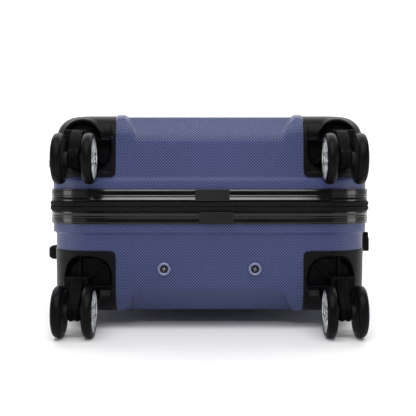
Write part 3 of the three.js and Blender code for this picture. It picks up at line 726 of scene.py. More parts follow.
@dataclass
class CaseForm:
    """The outside form of one half of the case, shared by its shell, housings and lining."""

    datum: Datum
    end: str
    corner_radius: float = 52.0
    shell_inset: float = 2.4
    step_inset: float = 3.2
    shell_edge: float = 10.3
    flange_top: float = 28.5
    draft: float = 1.5
    edge_radius: float = 22.0
    ridge_x: float = 94.6
    ridge_plateau: float = 3.2
    ridge_reach: float = 7.0
    scoop_low: float = 77.5
    scoop_high: float = 89.0

    @property
    def side(self) -> int:
        """+1 on the front half and -1 on the back half."""
        return 1 if self.end == "front" else -1

    @property
    def depth(self) -> float:
        """The distance from the zip's middle to the face."""
        return self.datum.front_depth if self.end == "front" else self.datum.back_depth

    @property
    def ridge_height(self) -> float:
        """How far the long ridges stand above the face."""
        low, high = self.datum.node(f"{self.end}_shell")
        return (high.z if self.side > 0 else -low.z) - self.depth

    def profile(self, wall_levels: Sequence[float] = (), edge_steps: int = 18) -> np.ndarray:
        """The section from the shell's edge to the face.

        Args:
            wall_levels: Heights above the zip where the wall has a point.
            edge_steps: Facets of the rounded edge.

        Returns:
            Rows of (offset, height, edge angle).
        """
        convex, concave, tilt = 1.8, 3.0, math.radians(70)
        flange, wall = -self.shell_inset, -self.shell_inset - self.step_inset
        rows = [(flange, self.shell_edge, 0), (flange, self.flange_top - 9, 0)]
        foot, top = self.flange_top + 0.15, self.flange_top
        for u, v, radius, first, last in (
                (flange - convex, top - convex * math.sin(tilt), convex, 0.0, tilt),
                (wall + concave, foot + concave * math.sin(tilt), concave, math.pi + tilt, math.pi)):
            for angle in np.linspace(first, last, 6):
                rows.append((u + radius * math.cos(angle), v + radius * math.sin(angle), 0))
        start, straight = rows[-1][1], self.depth - self.edge_radius
        between = (level for level in wall_levels if start < level < straight)
        levels = sorted({*np.linspace(start, straight, 7)[1:], *between})
        for level in levels:
            rows.append((wall - self.draft * (level - start) / (straight - start), level, 0))
        for step in range(1, edge_steps + 1):
            angle = step / edge_steps * math.pi / 2
            rows.append((wall - self.draft - self.edge_radius * (1 - math.cos(angle)),
                         straight + self.edge_radius * math.sin(angle), angle))
        return np.array(rows)

    def perimeter(self, columns: Sequence[float], rows: Sequence[float],
                  corner_steps: int = 16) -> tuple[np.ndarray, np.ndarray, np.ndarray]:
        """The plan outline, anticlockwise from the wheel end.

        Args:
            columns: Places across the end walls where they have a point.
            rows: Places along the side walls where they have a point.
            corner_steps: Facets in each corner.

        Returns:
            Points on the rims' faces, outward normals, and a flag for the end walls.
        """
        reach = self.datum.half_width - self.corner_radius, self.datum.half_length - self.corner_radius
        columns = sorted({-reach[0], reach[0], *(x for x in columns if abs(x) < reach[0])})
        rows = sorted({-reach[1], reach[1], *(y for y in rows if abs(y) < reach[1])})
        anchors, normals, ends = [], [], []
        for quarter in range(4):
            angle = (quarter - 1) * math.pi / 2
            normal = np.array([math.cos(angle), math.sin(angle)])
            along = columns if quarter % 2 == 0 else rows
            along = along if quarter < 2 else along[::-1]
            for value in along:
                face = (self.datum.half_length if quarter % 2 == 0 else self.datum.half_width)
                place = np.array([value, 0.0] if quarter % 2 == 0 else [0.0, value])
                anchors.append(place + normal * face)
                normals.append(normal)
                ends.append(quarter % 2 == 0)
            corner = np.array([reach[0] if quarter in (0, 1) else -reach[0],
                               -reach[1] if quarter in (0, 3) else reach[1]])
            for step in range(1, corner_steps):
                turn = angle + step / corner_steps * math.pi / 2
                normal = np.array([math.cos(turn), math.sin(turn)])
                anchors.append(corner + normal * self.corner_radius)
                normals.append(normal)
                ends.append(False)
        return np.array(anchors), np.array(normals), np.array(ends)

    def relief(self, x: np.ndarray, angle: np.ndarray) -> np.ndarray:
        """How far the pressed relief stands off the plain form.

        Args:
            x: Places across the case.
            angle: Angles on the rounded edge, from 0 at the wall to a right angle on the face.

        Returns:
            Distances along the surface's normal.
        """
        reach = np.abs(np.abs(x) - self.ridge_x)
        ridge = self.ridge_height * (1 - smooth_step(self.ridge_plateau, self.ridge_reach, reach))
        ridge = ridge * smooth_step(0.15, 1.1, angle)
        border = self.scoop_low + (self.scoop_high - self.scoop_low) * (angle * 2 / math.pi) ** 0.8
        inside = 1 - smooth_step(-2.2, 1.6, np.abs(x) - border)
        chord = math.cos(math.pi / 4) / np.cos(angle - math.pi / 4)
        return ridge + inside * self.edge_radius * (chord - 1)

    def surface(self, columns: Sequence[float], rows: Sequence[float], grow: float = 0.0,
                wall_levels: Sequence[float] = (), relief: bool = True,
                edge_steps: int = 18, corner_steps: int = 16) -> Shape:
        """The whole skin of the half, as one sheet with its faces out.

        Args:
            columns: Places across the case where the skin has a line of points.
            rows: Places along the case where it has one.
            grow: How far the skin lies outside the case's form.
            wall_levels: Heights of extra lines on the walls.
            relief: Whether the ridges and scoops are pressed in.
            edge_steps: Facets of the rounded edge.
            corner_steps: Facets of the plan corners.

        Returns:
            The sheet, before mirroring to the back half.
        """
        profile = self.profile(wall_levels, edge_steps)
        anchors, normals, ends = self.perimeter(columns, rows, corner_steps)
        offset, height, angle = (profile[:, i][:, None] for i in range(3))
        tangent = np.gradient(profile[:, :2], axis=0)
        tangent /= np.linalg.norm(tangent, axis=1)[:, None]
        out, up = tangent[:, 1][:, None], -tangent[:, 0][:, None]
        lift = np.full((len(profile), len(anchors)), grow)
        if relief:
            lift = lift + np.where(ends[None, :], self.relief(anchors[None, :, 0], angle), 0.0)
        reach = offset + out * lift
        x = anchors[None, :, 0] + normals[None, :, 0] * reach
        y = anchors[None, :, 1] + normals[None, :, 1] * reach
        z = height + up * lift + np.zeros_like(x)
        steps = np.linalg.norm(np.diff(anchors, axis=0, append=anchors[:1]), axis=1)
        run = np.concatenate([[0.0], np.cumsum(steps)])
        rises = np.linalg.norm(np.diff(profile[:, :2], axis=0), axis=1)
        climb = np.concatenate([[0.0], np.cumsum(rises)])
        shape = Shape()
        count, levels = len(anchors), len(profile)
        shape.add(np.stack([x, y, z], axis=2).reshape(-1, 3))
        for level in range(levels - 1):
            for j in range(count):
                k = (j + 1) % count
                corners = [level * count + j, level * count + k, (level + 1) * count + k,
                           (level + 1) * count + j]
                uvs = [(run[j], climb[level]), (run[j + 1], climb[level]),
                       (run[j + 1], climb[level + 1]), (run[j], climb[level + 1])]
                shape.face(corners, 0, uvs)
        self._face_grid(shape, anchors, (levels - 1) * count, grow, relief)
        return shape

    def _face_grid(self, shape: Shape, anchors: np.ndarray, top: int, grow: float,
                   relief: bool) -> None:
        """Fills the flat face inside the last ring with a grid that shares its border points.

        Args:
            shape: The sheet, which is changed.
            anchors: The plan outline.
            top: Number of the last ring's first point.
            grow: How far the skin lies outside the case's form.
            relief: Whether the ridges are pressed in.
        """
        count = len(anchors)
        bottom_x = [j for j in range(count) if abs(anchors[j][1] + self.datum.half_length) < 1e-6]
        top_x = [j for j in range(count) if abs(anchors[j][1] - self.datum.half_length) < 1e-6]
        right = list(range(bottom_x[-1], top_x[0] + 1))
        left = [j % count for j in range(top_x[-1], count + 1)][::-1]
        xs = [shape.points[top + j].x for j in bottom_x]
        inner = []
        for k in range(1, len(right) - 1):
            y = shape.points[top + right[k]].y
            lift = self.relief(np.array(xs), np.array(math.pi / 2)) if relief else np.zeros(len(xs))
            heights = self.depth + grow + lift
            inner.append(list(shape.add([(x, y, h) for x, h in zip(xs, heights)])))
        grid = [[top + j for j in bottom_x], *inner, [top + j for j in reversed(top_x)]]

        def uv(i: int) -> tuple[float, float]:
            """A face point's place on the UV map."""
            return shape.points[i].x, shape.points[i].y

        for low, high in zip(grid, grid[1:]):
            for a, b, c, d in zip(low, low[1:], high[1:], high):
                shape.face((a, b, c, d), 0, [uv(i) for i in (a, b, c, d)])
        for side, near in ((right, -1), (left, 0)):
            for k in range(len(side) - 1):
                a, b = grid[k][near], top + side[k]
                c, d = top + side[k + 1], grid[k + 1][near]
                corners = [i for n, i in enumerate((a, b, c, d)) if i not in (a, b, c, d)[:n]]
                if near == 0:
                    corners = corners[::-1]
                shape.face(corners, 0, [uv(i) for i in corners])

    def mirrored(self, shape: Shape) -> Shape:
        """The shape as it lies on this half: turned over for the back half."""
        return shape.placed(Matrix.Diagonal((1, 1, self.side, 1)))


def kept_faces(shape: Shape, keep: Callable[[np.ndarray], bool]) -> Shape:
    """Trims a shape.

    Args:
        shape: The shape.
        keep: Tells whether a face stays, by its middle.

    Returns:
        A copy with only the faces that stay.
    """
    trimmed = Shape()
    numbers: dict[int, int] = {}
    for corners, finish, uvs in zip(shape.faces, shape.finishes, shape.uvs):
        if keep(np.mean([shape.points[i] for i in corners], axis=0)):
            for i in corners:
                if i not in numbers:
                    numbers[i] = len(trimmed.points)
                    trimmed.points.append(shape.points[i])
            trimmed.face([numbers[i] for i in corners], finish, uvs)
    return trimmed


def spaced(low: float, high: float, pitch: float) -> list[float]:
    """Even places from low to high, no further apart than pitch."""
    return list(np.linspace(low, high, max(2, math.ceil((high - low) / pitch) + 1)))


@dataclass
class HousingRegion:
    """The corner that a caster housing covers, on the right hand of a half."""

    form: CaseForm
    width: float = 75.8
    height: float = 65.0
    wrap: float = 61.5

    @property
    def low_x(self) -> float:
        """The inner border across the case."""
        return self.form.datum.half_width - self.width

    @property
    def high_y(self) -> float:
        """The border along the case."""
        return self.wrap - self.form.datum.half_length

    @property
    def low_z(self) -> float:
        """The border nearest the zip."""
        return self.form.depth - self.height

    def holds(self, p: Point, margin: float = 0.0) -> bool:
        """Whether a point lies in the region, shrunk by a margin, on either hand."""
        return (abs(p[0]) > self.low_x + margin and p[1] < self.high_y - margin
                and p[2] > self.low_z + margin)


@dataclass
class CaseShell:
    """The thin moulded tray of one half, with its ridges, scoops and openings."""

    shop: Workshop
    form: CaseForm
    wall: float = 2.2
    housing_overlap: float = 4.0
    openings: list[tuple[Point, Point]] = field(default_factory=list)

    def build(self) -> None:
        """Builds the tray and dresses it."""
        form, region = self.form, HousingRegion(self.form)
        cut_x = region.low_x + self.housing_overlap
        cut_y = region.high_y - self.housing_overlap
        cut_z = region.low_z + self.housing_overlap
        fine = spaced(72, 102, 1.25)
        edges = [abs(p[0]) for box in self.openings for p in box]
        columns = sorted({0.0, *spaced(-72, 72, 7), *fine, *(-x for x in fine), cut_x, -cut_x,
                          *edges, *(-x for x in edges)})
        rows = sorted({*spaced(-185, 185, 7.5), cut_y, *(p[1] for b in self.openings for p in b)})
        levels = [cut_z, *(abs(p[2]) for box in self.openings for p in box)]

        def keep(middle: np.ndarray) -> bool:
            """Whether the tray has material at a place."""
            if region.holds(middle, self.housing_overlap):
                return False
            x, y, z = middle[0], middle[1], middle[2] * form.side
            return not any(low[0] < x < high[0] and low[1] < y < high[1] and low[2] < z < high[2]
                           for low, high in self.openings)

        tray = form.mirrored(kept_faces(form.surface(columns, rows, 0.0, levels), keep))
        self.shop.piece(f"{form.end}_case_shell", tray, f"{form.end}_half", "shell_navy",
                        [Finish.SHELL], [f"{form.end}_shell"], 50.0,
                        walled(self.wall, even=True))


@dataclass
class CornerHousing:
    """The corner moulding of a half: a skin over the corner with a pressed dish for the caster."""

    shop: Workshop
    form: CaseForm
    proud: float = 1.0
    wall: float = 1.3
    dish_depth: float = 20.0
    swivel_inset: float = 26.0
    swivel_from_side: float = 37.0
    platform_middle: float = -9.0
    platform_side: float = 16.0
    platform_half: float = 11.0
    end_fillet: float = 9.0
    side_fillet: float = 12.0
    end_zone: float = 12.0
    side_zone: float = 9.0
    face_zone: float = 1.0

    @property
    def axis(self) -> tuple[float, float]:
        """The swivel axis on the right hand, as (x, height above the zip)."""
        return (self.form.datum.half_width - self.swivel_from_side,
                self.form.depth - self.swivel_inset)

    @property
    def end_wall(self) -> float:
        """Where the shell's wall lies at the wheel end."""
        return -self.form.datum.half_length + self.form.shell_inset + self.form.step_inset

    def _dish(self, u: np.ndarray, t: np.ndarray) -> np.ndarray:
        """Share of the dish's depth at a place.

        Args:
            u: Distance from the swivel axis towards the case's side.
            t: Distance from the swivel axis towards the face.

        Returns:
            0 on the skin and 1 on the dish's floor.
        """
        reach_u = np.where(u > 0, 18.5, np.where(t < 0, 35.2, 23.0))
        reach_t = np.where(t < 0, 33.5, 21.5)
        power = np.where((u < 0) & (t < 0), 3.4, 2.2)
        ratio = (np.abs(u / reach_u) ** power + np.abs(t / reach_t) ** power) ** (1 / power)
        distance = (ratio - 1) * np.minimum(reach_u, reach_t)
        deep = 1 - smooth_step(-4.2, 0.3, distance)
        ledge = (1 - smooth_step(3.0, 9.5, t)) * np.where(u < -8, 1.0, 0.0)
        inner = 1 - smooth_step(33.0, 36.0, np.abs(u))
        shoulder = 0.24 * ledge * inner * smooth_step(-2.0, 2.0, t)
        return np.maximum(deep, shoulder)

    def _lip(self, u: np.ndarray, t: np.ndarray) -> np.ndarray:
        """Height of the rolled lip over the dish on its face side, in millimetres."""
        reach_u = np.where(u > 0, 20.5, 24.5)
        ratio = np.sqrt((u / reach_u) ** 2 + (t / 23.5) ** 2)
        distance = (ratio - 1) * 22.0
        flare = smooth_step(2.0, 12.0, t)
        return 1.5 * np.exp(-(distance / 1.5) ** 2) * flare

    def build(self) -> None:
        """Builds the left and the right housing."""
        form, region = self.form, HousingRegion(self.form)
        reach = form.datum.half_width - form.corner_radius
        columns = [-reach + 1, 0.0, *spaced(region.low_x, reach - 0.4, 0.8)]
        rows = [0.0, *spaced(3.0 - form.datum.half_length + form.corner_radius, region.high_y, 1.4)]
        straight = form.depth - form.edge_radius
        levels = spaced(region.low_z, straight, 0.85)
        shape = form.surface(columns, rows, self.proud, levels, False, 30, 56)
        kept = kept_faces(shape, lambda p: region.holds(p) and p[0] > 0)
        self._round_corners(kept, region)
        axis_x, axis_z = self.axis
        points = np.array(kept.points)
        u, t = points[:, 0] - axis_x, points[:, 2] - axis_z
        facing = points[:, 1] < -form.datum.half_length + form.corner_radius + 6
        share = self._dish(u, t) * facing
        floor = self.end_wall + self.dish_depth
        y = points[:, 1] - self._lip(u, t) * facing * (share < 0.5)
        y = y + share * np.maximum(floor - points[:, 1], 0)
        inset = np.minimum.reduce([points[:, 0] - region.low_x, points[:, 2] - region.low_z])
        y = y + 0.45 * smooth_step(4.6, 5.6, inset) * (1 - share) * facing
        for point, value in zip(kept.points, y):
            point.y = value

        for hand, sign in HANDS.items():
            turn = Matrix.Diagonal((sign, 1, 1, 1))
            place, body = f"{form.end}_{hand}", f"{form.end}_half"
            self.shop.piece(f"corner_skin_{place}", form.mirrored(kept).placed(turn), body,
                            "black_plastic", [Finish.BLACK], [f"housing_{place}"], 40.0,
                            walled(self.wall))
            self.shop.piece(f"caster_boss_{place}", form.mirrored(self._inside()).placed(turn),
                            body, "black_plastic", [Finish.BLACK])

    def _round_corners(self, shape: Shape, region: HousingRegion) -> None:
        """Draws the border points at the three outer corners onto their fillets."""
        datum = self.form.datum
        across, along, up = (0, region.low_x, 1), (1, region.high_y, -1), (2, region.low_z, 1)
        for p in shape.points:
            if p.y < self.end_zone - datum.half_length:
                self._fillet(p, across, up, self.end_fillet)
            if p.x > datum.half_width - self.side_zone:
                self._fillet(p, along, up, self.side_fillet)
            if p.z > self.form.depth - self.face_zone:
                self._fillet(p, across, along, self.side_fillet)

    @staticmethod
    def _fillet(p: Vector, first: tuple[int, float, int], second: tuple[int, float, int],
                radius: float) -> None:
        """Moves a point onto the fillet between two borders if it lies outside it.

        Args:
            p: The point, which is changed.
            first: A border's axis, its place there and the sign of the way inwards.
            second: The other border.
            radius: The fillet's radius.
        """
        (a, edge_a, way_a), (b, edge_b, way_b) = first, second
        da = edge_a + way_a * radius - p[a]
        db = edge_b + way_b * radius - p[b]
        length = math.hypot(da, db)
        if da * way_a > 0 and db * way_b > 0 and length > radius:
            p[a] += da * (1 - radius / length)
            p[b] += db * (1 - radius / length)

    def _inside(self) -> Shape:
        """The kingpin platform and the ribs that stand on the dish's floor."""
        shape = Shape()
        axis_x, axis_z = self.axis
        end = self.end_wall
        floor = end + self.dish_depth + 0.6
        middle = (self.platform_middle + self.platform_side) / 2
        half = (self.platform_side - self.platform_middle) / 2
        shape.rounded_block("y", (axis_x + middle, axis_z), (half, self.platform_half), 2.2, end,
                            floor, 0.8)
        for quarter in (2.0, 2.5, 3.0):
            rib = Shape()
            rib.rounded_block("y", (22.5, 0.0), (12.5, 0.75), 0.5, end + 8.5, floor, 0.45)
            turn = Matrix.Rotation(-quarter * math.pi / 2, 4, "Y")
            shape.join(rib, Matrix.Translation((axis_x, 0, axis_z)) @ turn)
        return shape


# ------------------------------------------------------------------ rims, zip and hinge


@dataclass
class Rim:
    """The gloss frame that holds a shell's edge, ribbed along its outside."""

    shop: Workshop
    form: CaseForm
    base: float = 5.5
    height: float = 13.0
    outer_lip: float = 2.1
    thickness: float = 6.5
    web: float = 4.5
    groove: float = 0.75
    joiner_half: float = 18.0
    ribs: tuple[tuple[float, float, float], ...] = (
        (0.05, 4.2, 2.5), (4.8, 6.3, 0.7), (6.8, 11.8, 0.7), (12.2, 12.9, 0.3))

    def _outside(self) -> list[tuple[float, float]]:
        """The ribbed outer face, from the zip side to the shell side.

        Each rib has a sharp edge towards the zip and a bevel towards the shell; ribs holds the
        heights of both above the rim's base, and the bevel's height.
        """
        points = []
        for low, high, bevel in self.ribs:
            start, end = self.base + low, self.base + high
            points += [(-self.groove, start), (-0.1, start + 0.06), (0.0, start + 0.2),
                       (0.0, end - bevel), (-0.29 * bevel, end), (-self.groove - 0.01, end + 0.05)]
        return points

    def build(self, joiner_x: float) -> None:
        """Builds the rim and the plate over its seam.

        Args:
            joiner_x: The middle of the plate, across the case.
        """
        form, top = self.form, self.base + self.height
        shelf = self.base + self.web
        profile = [*self._outside(), (-self.outer_lip, top - 0.05), (-self.outer_lip, shelf),
                   (-self.thickness + 1.6, shelf), (-self.thickness + 1.6, top),
                   (-self.thickness, top), (-self.thickness, self.base)]
        anchors, normals, _ = form.perimeter(spaced(-120, 120, 20), spaced(-180, 180, 20), 28)
        shape = Shape()
        rings = [[(*(a + n * offset), z) for a, n in zip(anchors, normals)]
                 for offset, z in profile]
        shape.loft(rings, loop=True)
        body = f"{form.end}_half"
        self.shop.piece(f"{form.end}_ribbed_rim", form.mirrored(shape), body, "rim_black",
                        [Finish.RIM], [f"{form.end}_rim"], 13.0)
        low, high, middle, half = self.shop.datum.spans(f"{form.end}_rim_joiner")
        plate = Shape()
        plate.rounded_block("y", (joiner_x, middle.z), (self.joiner_half, half.z), 1.2, low.y,
                            high.y + 0.4, 0.5)
        self.shop.piece(f"{form.end}_seam_plate", plate, body, "black_plastic",
                        [Finish.JOINER], [f"{form.end}_rim_joiner"])


class PathTree(Graph):
    """A geometry node tree that sets small balls, stretched to a size, along a path."""

    inputs = {"Pitch": "NodeSocketFloat", "Size": "NodeSocketVector", "Tilt": "NodeSocketFloat"}

    def __init__(self, name: str, finish: Finish) -> None:
        """Builds the tree, with the pitch, size and tilt of the balls as its inputs.

        Args:
            name: The tree's name.
            finish: The balls' finish.
        """
        super().__init__(bpy.data.node_groups.new(name, "GeometryNodeTree"))
        face = self.tree.interface
        face.new_socket("Geometry", in_out="INPUT", socket_type="NodeSocketGeometry")
        for label, kind in self.inputs.items():
            face.new_socket(label, in_out="INPUT", socket_type=kind)
        face.new_socket("Geometry", in_out="OUTPUT", socket_type="NodeSocketGeometry")
        path = self.add("NodeGroupInput")
        step, extent, lean = (path.sibling(i) for i in (1, 2, 3))
        curve = self.add("GeometryNodeMeshToCurve", inputs={0: path})
        points = self.add("GeometryNodeCurveToPoints", {"mode": "LENGTH"},
                          {"Curve": curve, "Length": step})
        turn = self.add("FunctionNodeAlignRotationToVector", {"axis": "Y", "pivot_axis": "Z"},
                        {"Vector": points.sibling("Tangent")})
        ball = self.add("GeometryNodeMeshUVSphere",
                        inputs={"Segments": 8, "Rings": 6, "Radius": 0.5})
        angles = self.add("ShaderNodeCombineXYZ", inputs={"X": lean})
        solid = self.add("GeometryNodeTransform", inputs={"Geometry": ball, "Scale": extent,
                                                          "Rotation": angles})
        placed = self.add("GeometryNodeInstanceOnPoints",
                          inputs={"Points": points, "Instance": solid, "Rotation": turn})
        real = self.add("GeometryNodeRealizeInstances", inputs={"Geometry": placed})
        dressed = self.add("GeometryNodeSetMaterial",
                           inputs={"Geometry": real, "Material": finish.material()})
        self.add("NodeGroupOutput", inputs={0: dressed})

    def follow(self, name: str, points: Sequence[Vector], pitch: float, size: Point,
               tilt: float = 0.0, closed: bool = False) -> bpy.types.Mesh:
        """Runs the tree along a line of points.

        Args:
            name: The new mesh's name.
            points: The line, in the frame's metres.
            pitch: Distance between two balls, in millimetres.
            size: A ball's sizes across, along and up, in millimetres.
            tilt: How far it leans along the path, in radians.
            closed: Whether the line joins its own start.

        Returns:
            The mesh that the tree makes.
        """
        count = len(points)
        line = bpy.data.meshes.new(name)
        line.from_pydata(points, [(i, (i + 1) % count) for i in range(count - (not closed))], [])
        thing = in_scene(name, line)
        modifier = thing.modifiers.new("path", "NODES")
        modifier.node_group = self.tree
        values = {"Pitch": pitch * MM, "Size": [part * MM for part in size], "Tilt": tilt}
        for item in self.tree.interface.items_tree:
            if item.in_out == "INPUT" and item.name in values:
                modifier[item.identifier] = values[item.name]
        mesh = baked(thing)
        bpy.data.objects.remove(thing)
        mesh.name = name
        return mesh


@dataclass
class ZipHalf:
    """One half of the zip: a folded tape, its coil of teeth and its rows of stitches."""

    shop: Workshop
    form: CaseForm
    hinge_half: float = 189.5
    tape_top: float = 5.2
    bulge: float = 1.0
    tooth_pitch: float = 2.4
    stitch_pitch: float = 3.2

    def _line(self, offset: float, z: float) -> list[Vector]:
        """An open line round the case that leaves out the hinge.

        Args:
            offset: How far outside the rims' faces it runs.
            z: Its distance from the middle of the zip.

        Returns:
            Its points, in the case's millimetres.
        """
        anchors, normals, _ = self.form.perimeter(spaced(-120, 120, 12), spaced(-184, 184, 12), 24)
        points = [Vector((*(a + n * offset), z * self.form.side)) for a, n in zip(anchors, normals)]
        low = [i for i, p in enumerate(points) if p.x < -160 and abs(p.y) < self.hinge_half]
        start = low[-1] + 1
        return [points[(start + i) % len(points)] for i in range(len(points) - len(low))]

    def _tape(self) -> Shape:
        """The tape, a folded strip that bulges a little past the rims."""
        top, bulge = self.tape_top, self.bulge
        profile = [(bulge - 1.3, top), (bulge - 0.5, top - 0.9), (bulge - 0.1, top - 2.0),
                   (bulge, top - 2.6), (bulge - 0.25, top - 3.3), (bulge - 0.05, 1.2),
                   (bulge - 0.4, 0.45), (bulge - 1.2, 0.2), (-4.0, 0.25), (-4.0, top)]
        lines = [self._line(offset, z) for offset, z in reversed(profile)]
        shape = Shape()
        rings = [[line[i] for line in lines] for i in range(len(lines[0]))]
        shape.loft(rings if self.form.side > 0 else [ring[::-1] for ring in rings])
        return shape

    def build(self) -> None:
        """Builds the tape, the teeth and the stitches."""
        form, datum = self.form, self.shop.datum
        body = f"{form.end}_half"
        self.shop.piece(f"{form.end}_folded_tape", self._tape(), body, "black_tape",
                        [Finish.TAPE], [f"{form.end}_zip_tape"], 60.0)
        line = [datum.point(p) for p in self._line(-2.6, 0.75)]
        if form.side < 0:
            line = self._shifted(line, self.tooth_pitch * MM / 2)
        teeth = PathTree(f"{form.end}_teeth_tree", Finish.GREY)
        mesh = teeth.follow(f"{form.end}_teeth", line, self.tooth_pitch, (2.6, 1.15, 2.2))
        self.shop.piece(f"{form.end}_zip_teeth", mesh, body, "black_tape", [])
        stitches = PathTree(f"{form.end}_stitch_tree", Finish.THREAD)
        for row, (offset, z) in enumerate(((self.bulge - 0.12, 1.45), (self.bulge - 0.1, 3.6))):
            line = [datum.point(p) for p in self._line(offset, z)]
            mesh = stitches.follow(f"{form.end}_stitches_{row}", line, self.stitch_pitch,
                                   (0.42, 1.7, 0.4), 0.5 * form.side)
            self.shop.piece(f"{form.end}_stitches_{row}", mesh, body, "black_tape", [])

    @staticmethod
    def _shifted(line: list[Vector], distance: float) -> list[Vector]:
        """The same line, started a distance further along its first stretch."""
        way = (line[1] - line[0]).normalized()
        return [line[0] + way * distance, *line[1:]]


# ------------------------------------------------------------------ casters


@dataclass
class Caster:
    """A twin-wheel caster that hangs from its swivel axis; built about that axis."""

    shop: Workshop
    end: str
    hand: str
    arm_width: float = 11.6
    barrel_radius: float = 10.0
    wheel_out: float = 28.0
    wheel_trail: float = 20.2
    wheel_radius: float = 26.4
    tyre_inner: float = 9.8
    tyre_outer: float = 20.7
    hub_radius: float = 21.9
    spokes: int = 10
    spoke_lean: float = 11.0
    spoke_aside: float = 1.7
    spoke_middle: float = 12.9

    @property
    def origin(self) -> Vector:
        """Where the swivel axis meets the end wall's plane."""
        datum, inset = self.shop.datum, CornerHousing.swivel_inset
        middle = datum.spans(f"caster_fork_{self.end}_{self.hand}")[2]
        z = datum.front_depth - inset if self.end == "front" else inset - datum.back_depth
        return Vector((middle.x, END_WALL - datum.half_length, z))

    def build(self) -> None:
        """Builds the fork, the tyres and the hubs."""
        place = f"{self.end}_{self.hand}"
        body = f"caster_{place}"
        fork = self._fork().placed(Matrix.Translation(self.origin))
        self.shop.piece(f"caster_arm_{place}", fork, body, "black_plastic", [Finish.FORK],
                        [f"caster_fork_{place}"])
        sign = HANDS[self.hand]
        for wheel, facing in (("inner", -sign), ("outer", sign)):
            centre = self.origin + Vector((0, -self.wheel_out, -self.wheel_trail))
            turn = Matrix.Translation(centre) @ Matrix.Rotation(
                0 if facing > 0 else math.pi, 4, "Z")
            name = f"{place}_{wheel}"
            self.shop.piece(f"wheel_tyre_{name}", self._tyre().placed(turn), f"wheel_{name}",
                            "tyre_black", [Finish.TYRE], [f"tyre_{name}"], 40.0)
            self.shop.piece(f"wheel_hub_{name}", self._hub().placed(turn), f"wheel_{name}",
                            "hub_silver", [Finish.HUB, Finish.WELL], [f"hub_{name}"], 35.0)

    def _fork(self) -> Shape:
        """Crown, arm, barrel, kingpin and axle."""
        shape = Shape()
        half, out, down = self.arm_width / 2, -self.wheel_out, -self.wheel_trail
        shape.turned([(0.0, -4.2), (7.6, -4.2), (8.6, -3.9), (9.2, -3.2), (9.3, -2.4),
                      (9.3, -1.2), (8.8, -0.7), (0.0, -0.6)], "y", (0, 0, 0), 56)
        shape.turned([(0.0, -1.5), (4.0, -1.5), (4.0, 15.0), (3.2, 16.0), (0.0, 16.0)],
                     "y", (0, 0, 0), 28)
        corner = self.barrel_radius * math.sqrt(0.5)
        outline = [(-1.0, 9.6), (-7.6, 9.8), (-12.0, 8.2), (out - corner + 0.6, down + corner),
                   (out - 9.4, down), (out + 2, down - 8.5), (out + corner, down - corner),
                   (-9.5, -15.2), (-5.0, -12.6), (-1.0, -12.4)]
        centre = Vector((-16.0, -6.0))

        def arm(inset: float) -> list[tuple[float, float]]:
            """The arm's side outline, moved in by a distance."""
            moved = []
            for point in outline:
                ray = Vector(point) - centre
                moved.append(tuple(centre + ray * (1 - inset / ray.length)))
            return moved

        shape.block(arm, "x", -half, half, 1.1, 4)
        barrel = self.barrel_radius
        left = [(0.0, -half), (barrel - 1.2, -half), (barrel, 1.0 - half), (barrel, -1.6),
                (barrel - 0.8, -1.2)]
        right = [(radius, -level) for radius, level in reversed(left)]
        shape.turned([*left, *right], "x", (0, out, down), 48)
        shape.turned([(0.0, -18.0), (2.4, -18.0), (2.8, -17.5), (2.8, 17.5), (2.4, 18.0),
                      (0.0, 18.0)], "x", (0, out, down), 24)
        return shape

    def _tyre(self) -> Shape:
        """A tyre with round shoulders and a slightly crowned tread."""
        inner, outer, rim = self.tyre_inner, self.tyre_outer, self.hub_radius + 0.3
        shoulder, middle = 3.9, (inner + outer) / 2
        profile = [(rim, inner + 0.7), (rim + 0.5, inner)]
        for step in range(9):
            angle = step / 8 * math.pi / 2
            profile.append((self.wheel_radius - 0.35 - shoulder * (1 - math.sin(angle)),
                            inner + shoulder * (1 - math.cos(angle))))
        profile.append((self.wheel_radius, middle))
        mirrored = [(radius, 2 * middle - level) for radius, level in reversed(profile[:-1])]
        shape = Shape()
        shape.turned([*profile, *mirrored], "x", (0, 0, 0), 84, True)
        return shape

    def _hub(self) -> Shape:
        """Rim ring, cap, collar, dark well and the spokes in front of it."""
        shape = Shape()
        inner, outer, radius = self.tyre_inner + 0.4, self.tyre_outer - 0.4, self.hub_radius
        shape.turned([(radius - 2.4, inner + 1), (radius, inner), (radius, outer - 0.5),
                      (radius - 0.5, outer), (radius - 1.5, outer), (radius - 2.2, outer - 0.7),
                      (radius - 2.4, outer - 3.4)], "x", (0, 0, 0), 72, True)
        shape.turned([(0.0, outer - 3.0), (6.2, outer - 3.0), (6.4, outer - 0.9),
                      (5.6, outer - 0.1), (4.4, outer + 0.1), (4.2, outer - 0.5),
                      (0.0, outer - 0.4)], "x", (0, 0, 0), 48)
        shape.turned([(3.1, 6.3), (6.6, 6.3), (7.0, 6.7), (7.0, inner), (radius - 1.2, inner),
                      (radius - 1.2, outer - 3.0), (3.1, outer - 3.0)], "x", (0, 0, 0), 48, True,
                     finish=1)
        spoke = Shape()
        spoke.rounded_block("x", (0.0, 0.0), (0.72, 7.2), 0.5, outer - 2.9, outer - 0.25, 0.35)
        for number in range(self.spokes):
            turn = Matrix.Rotation(2 * math.pi * number / self.spokes, 4, "X")
            for sign in SIGNS:
                tilt = Matrix.Rotation(math.radians(self.spoke_lean * sign), 4, "X")
                out = Matrix.Translation((0, self.spoke_aside * sign, self.spoke_middle))
                shape.join(spoke, turn @ out @ tilt)
        return shape


# ------------------------------------------------------------------ fittings


def frame_matrix(along: Point, across: Point, out: Point, origin: Point) -> Matrix:
    """The matrix from a fitting's own axes to the case's."""
    return Matrix.Translation(origin) @ Matrix((along, across, out)).transposed().to_4x4()


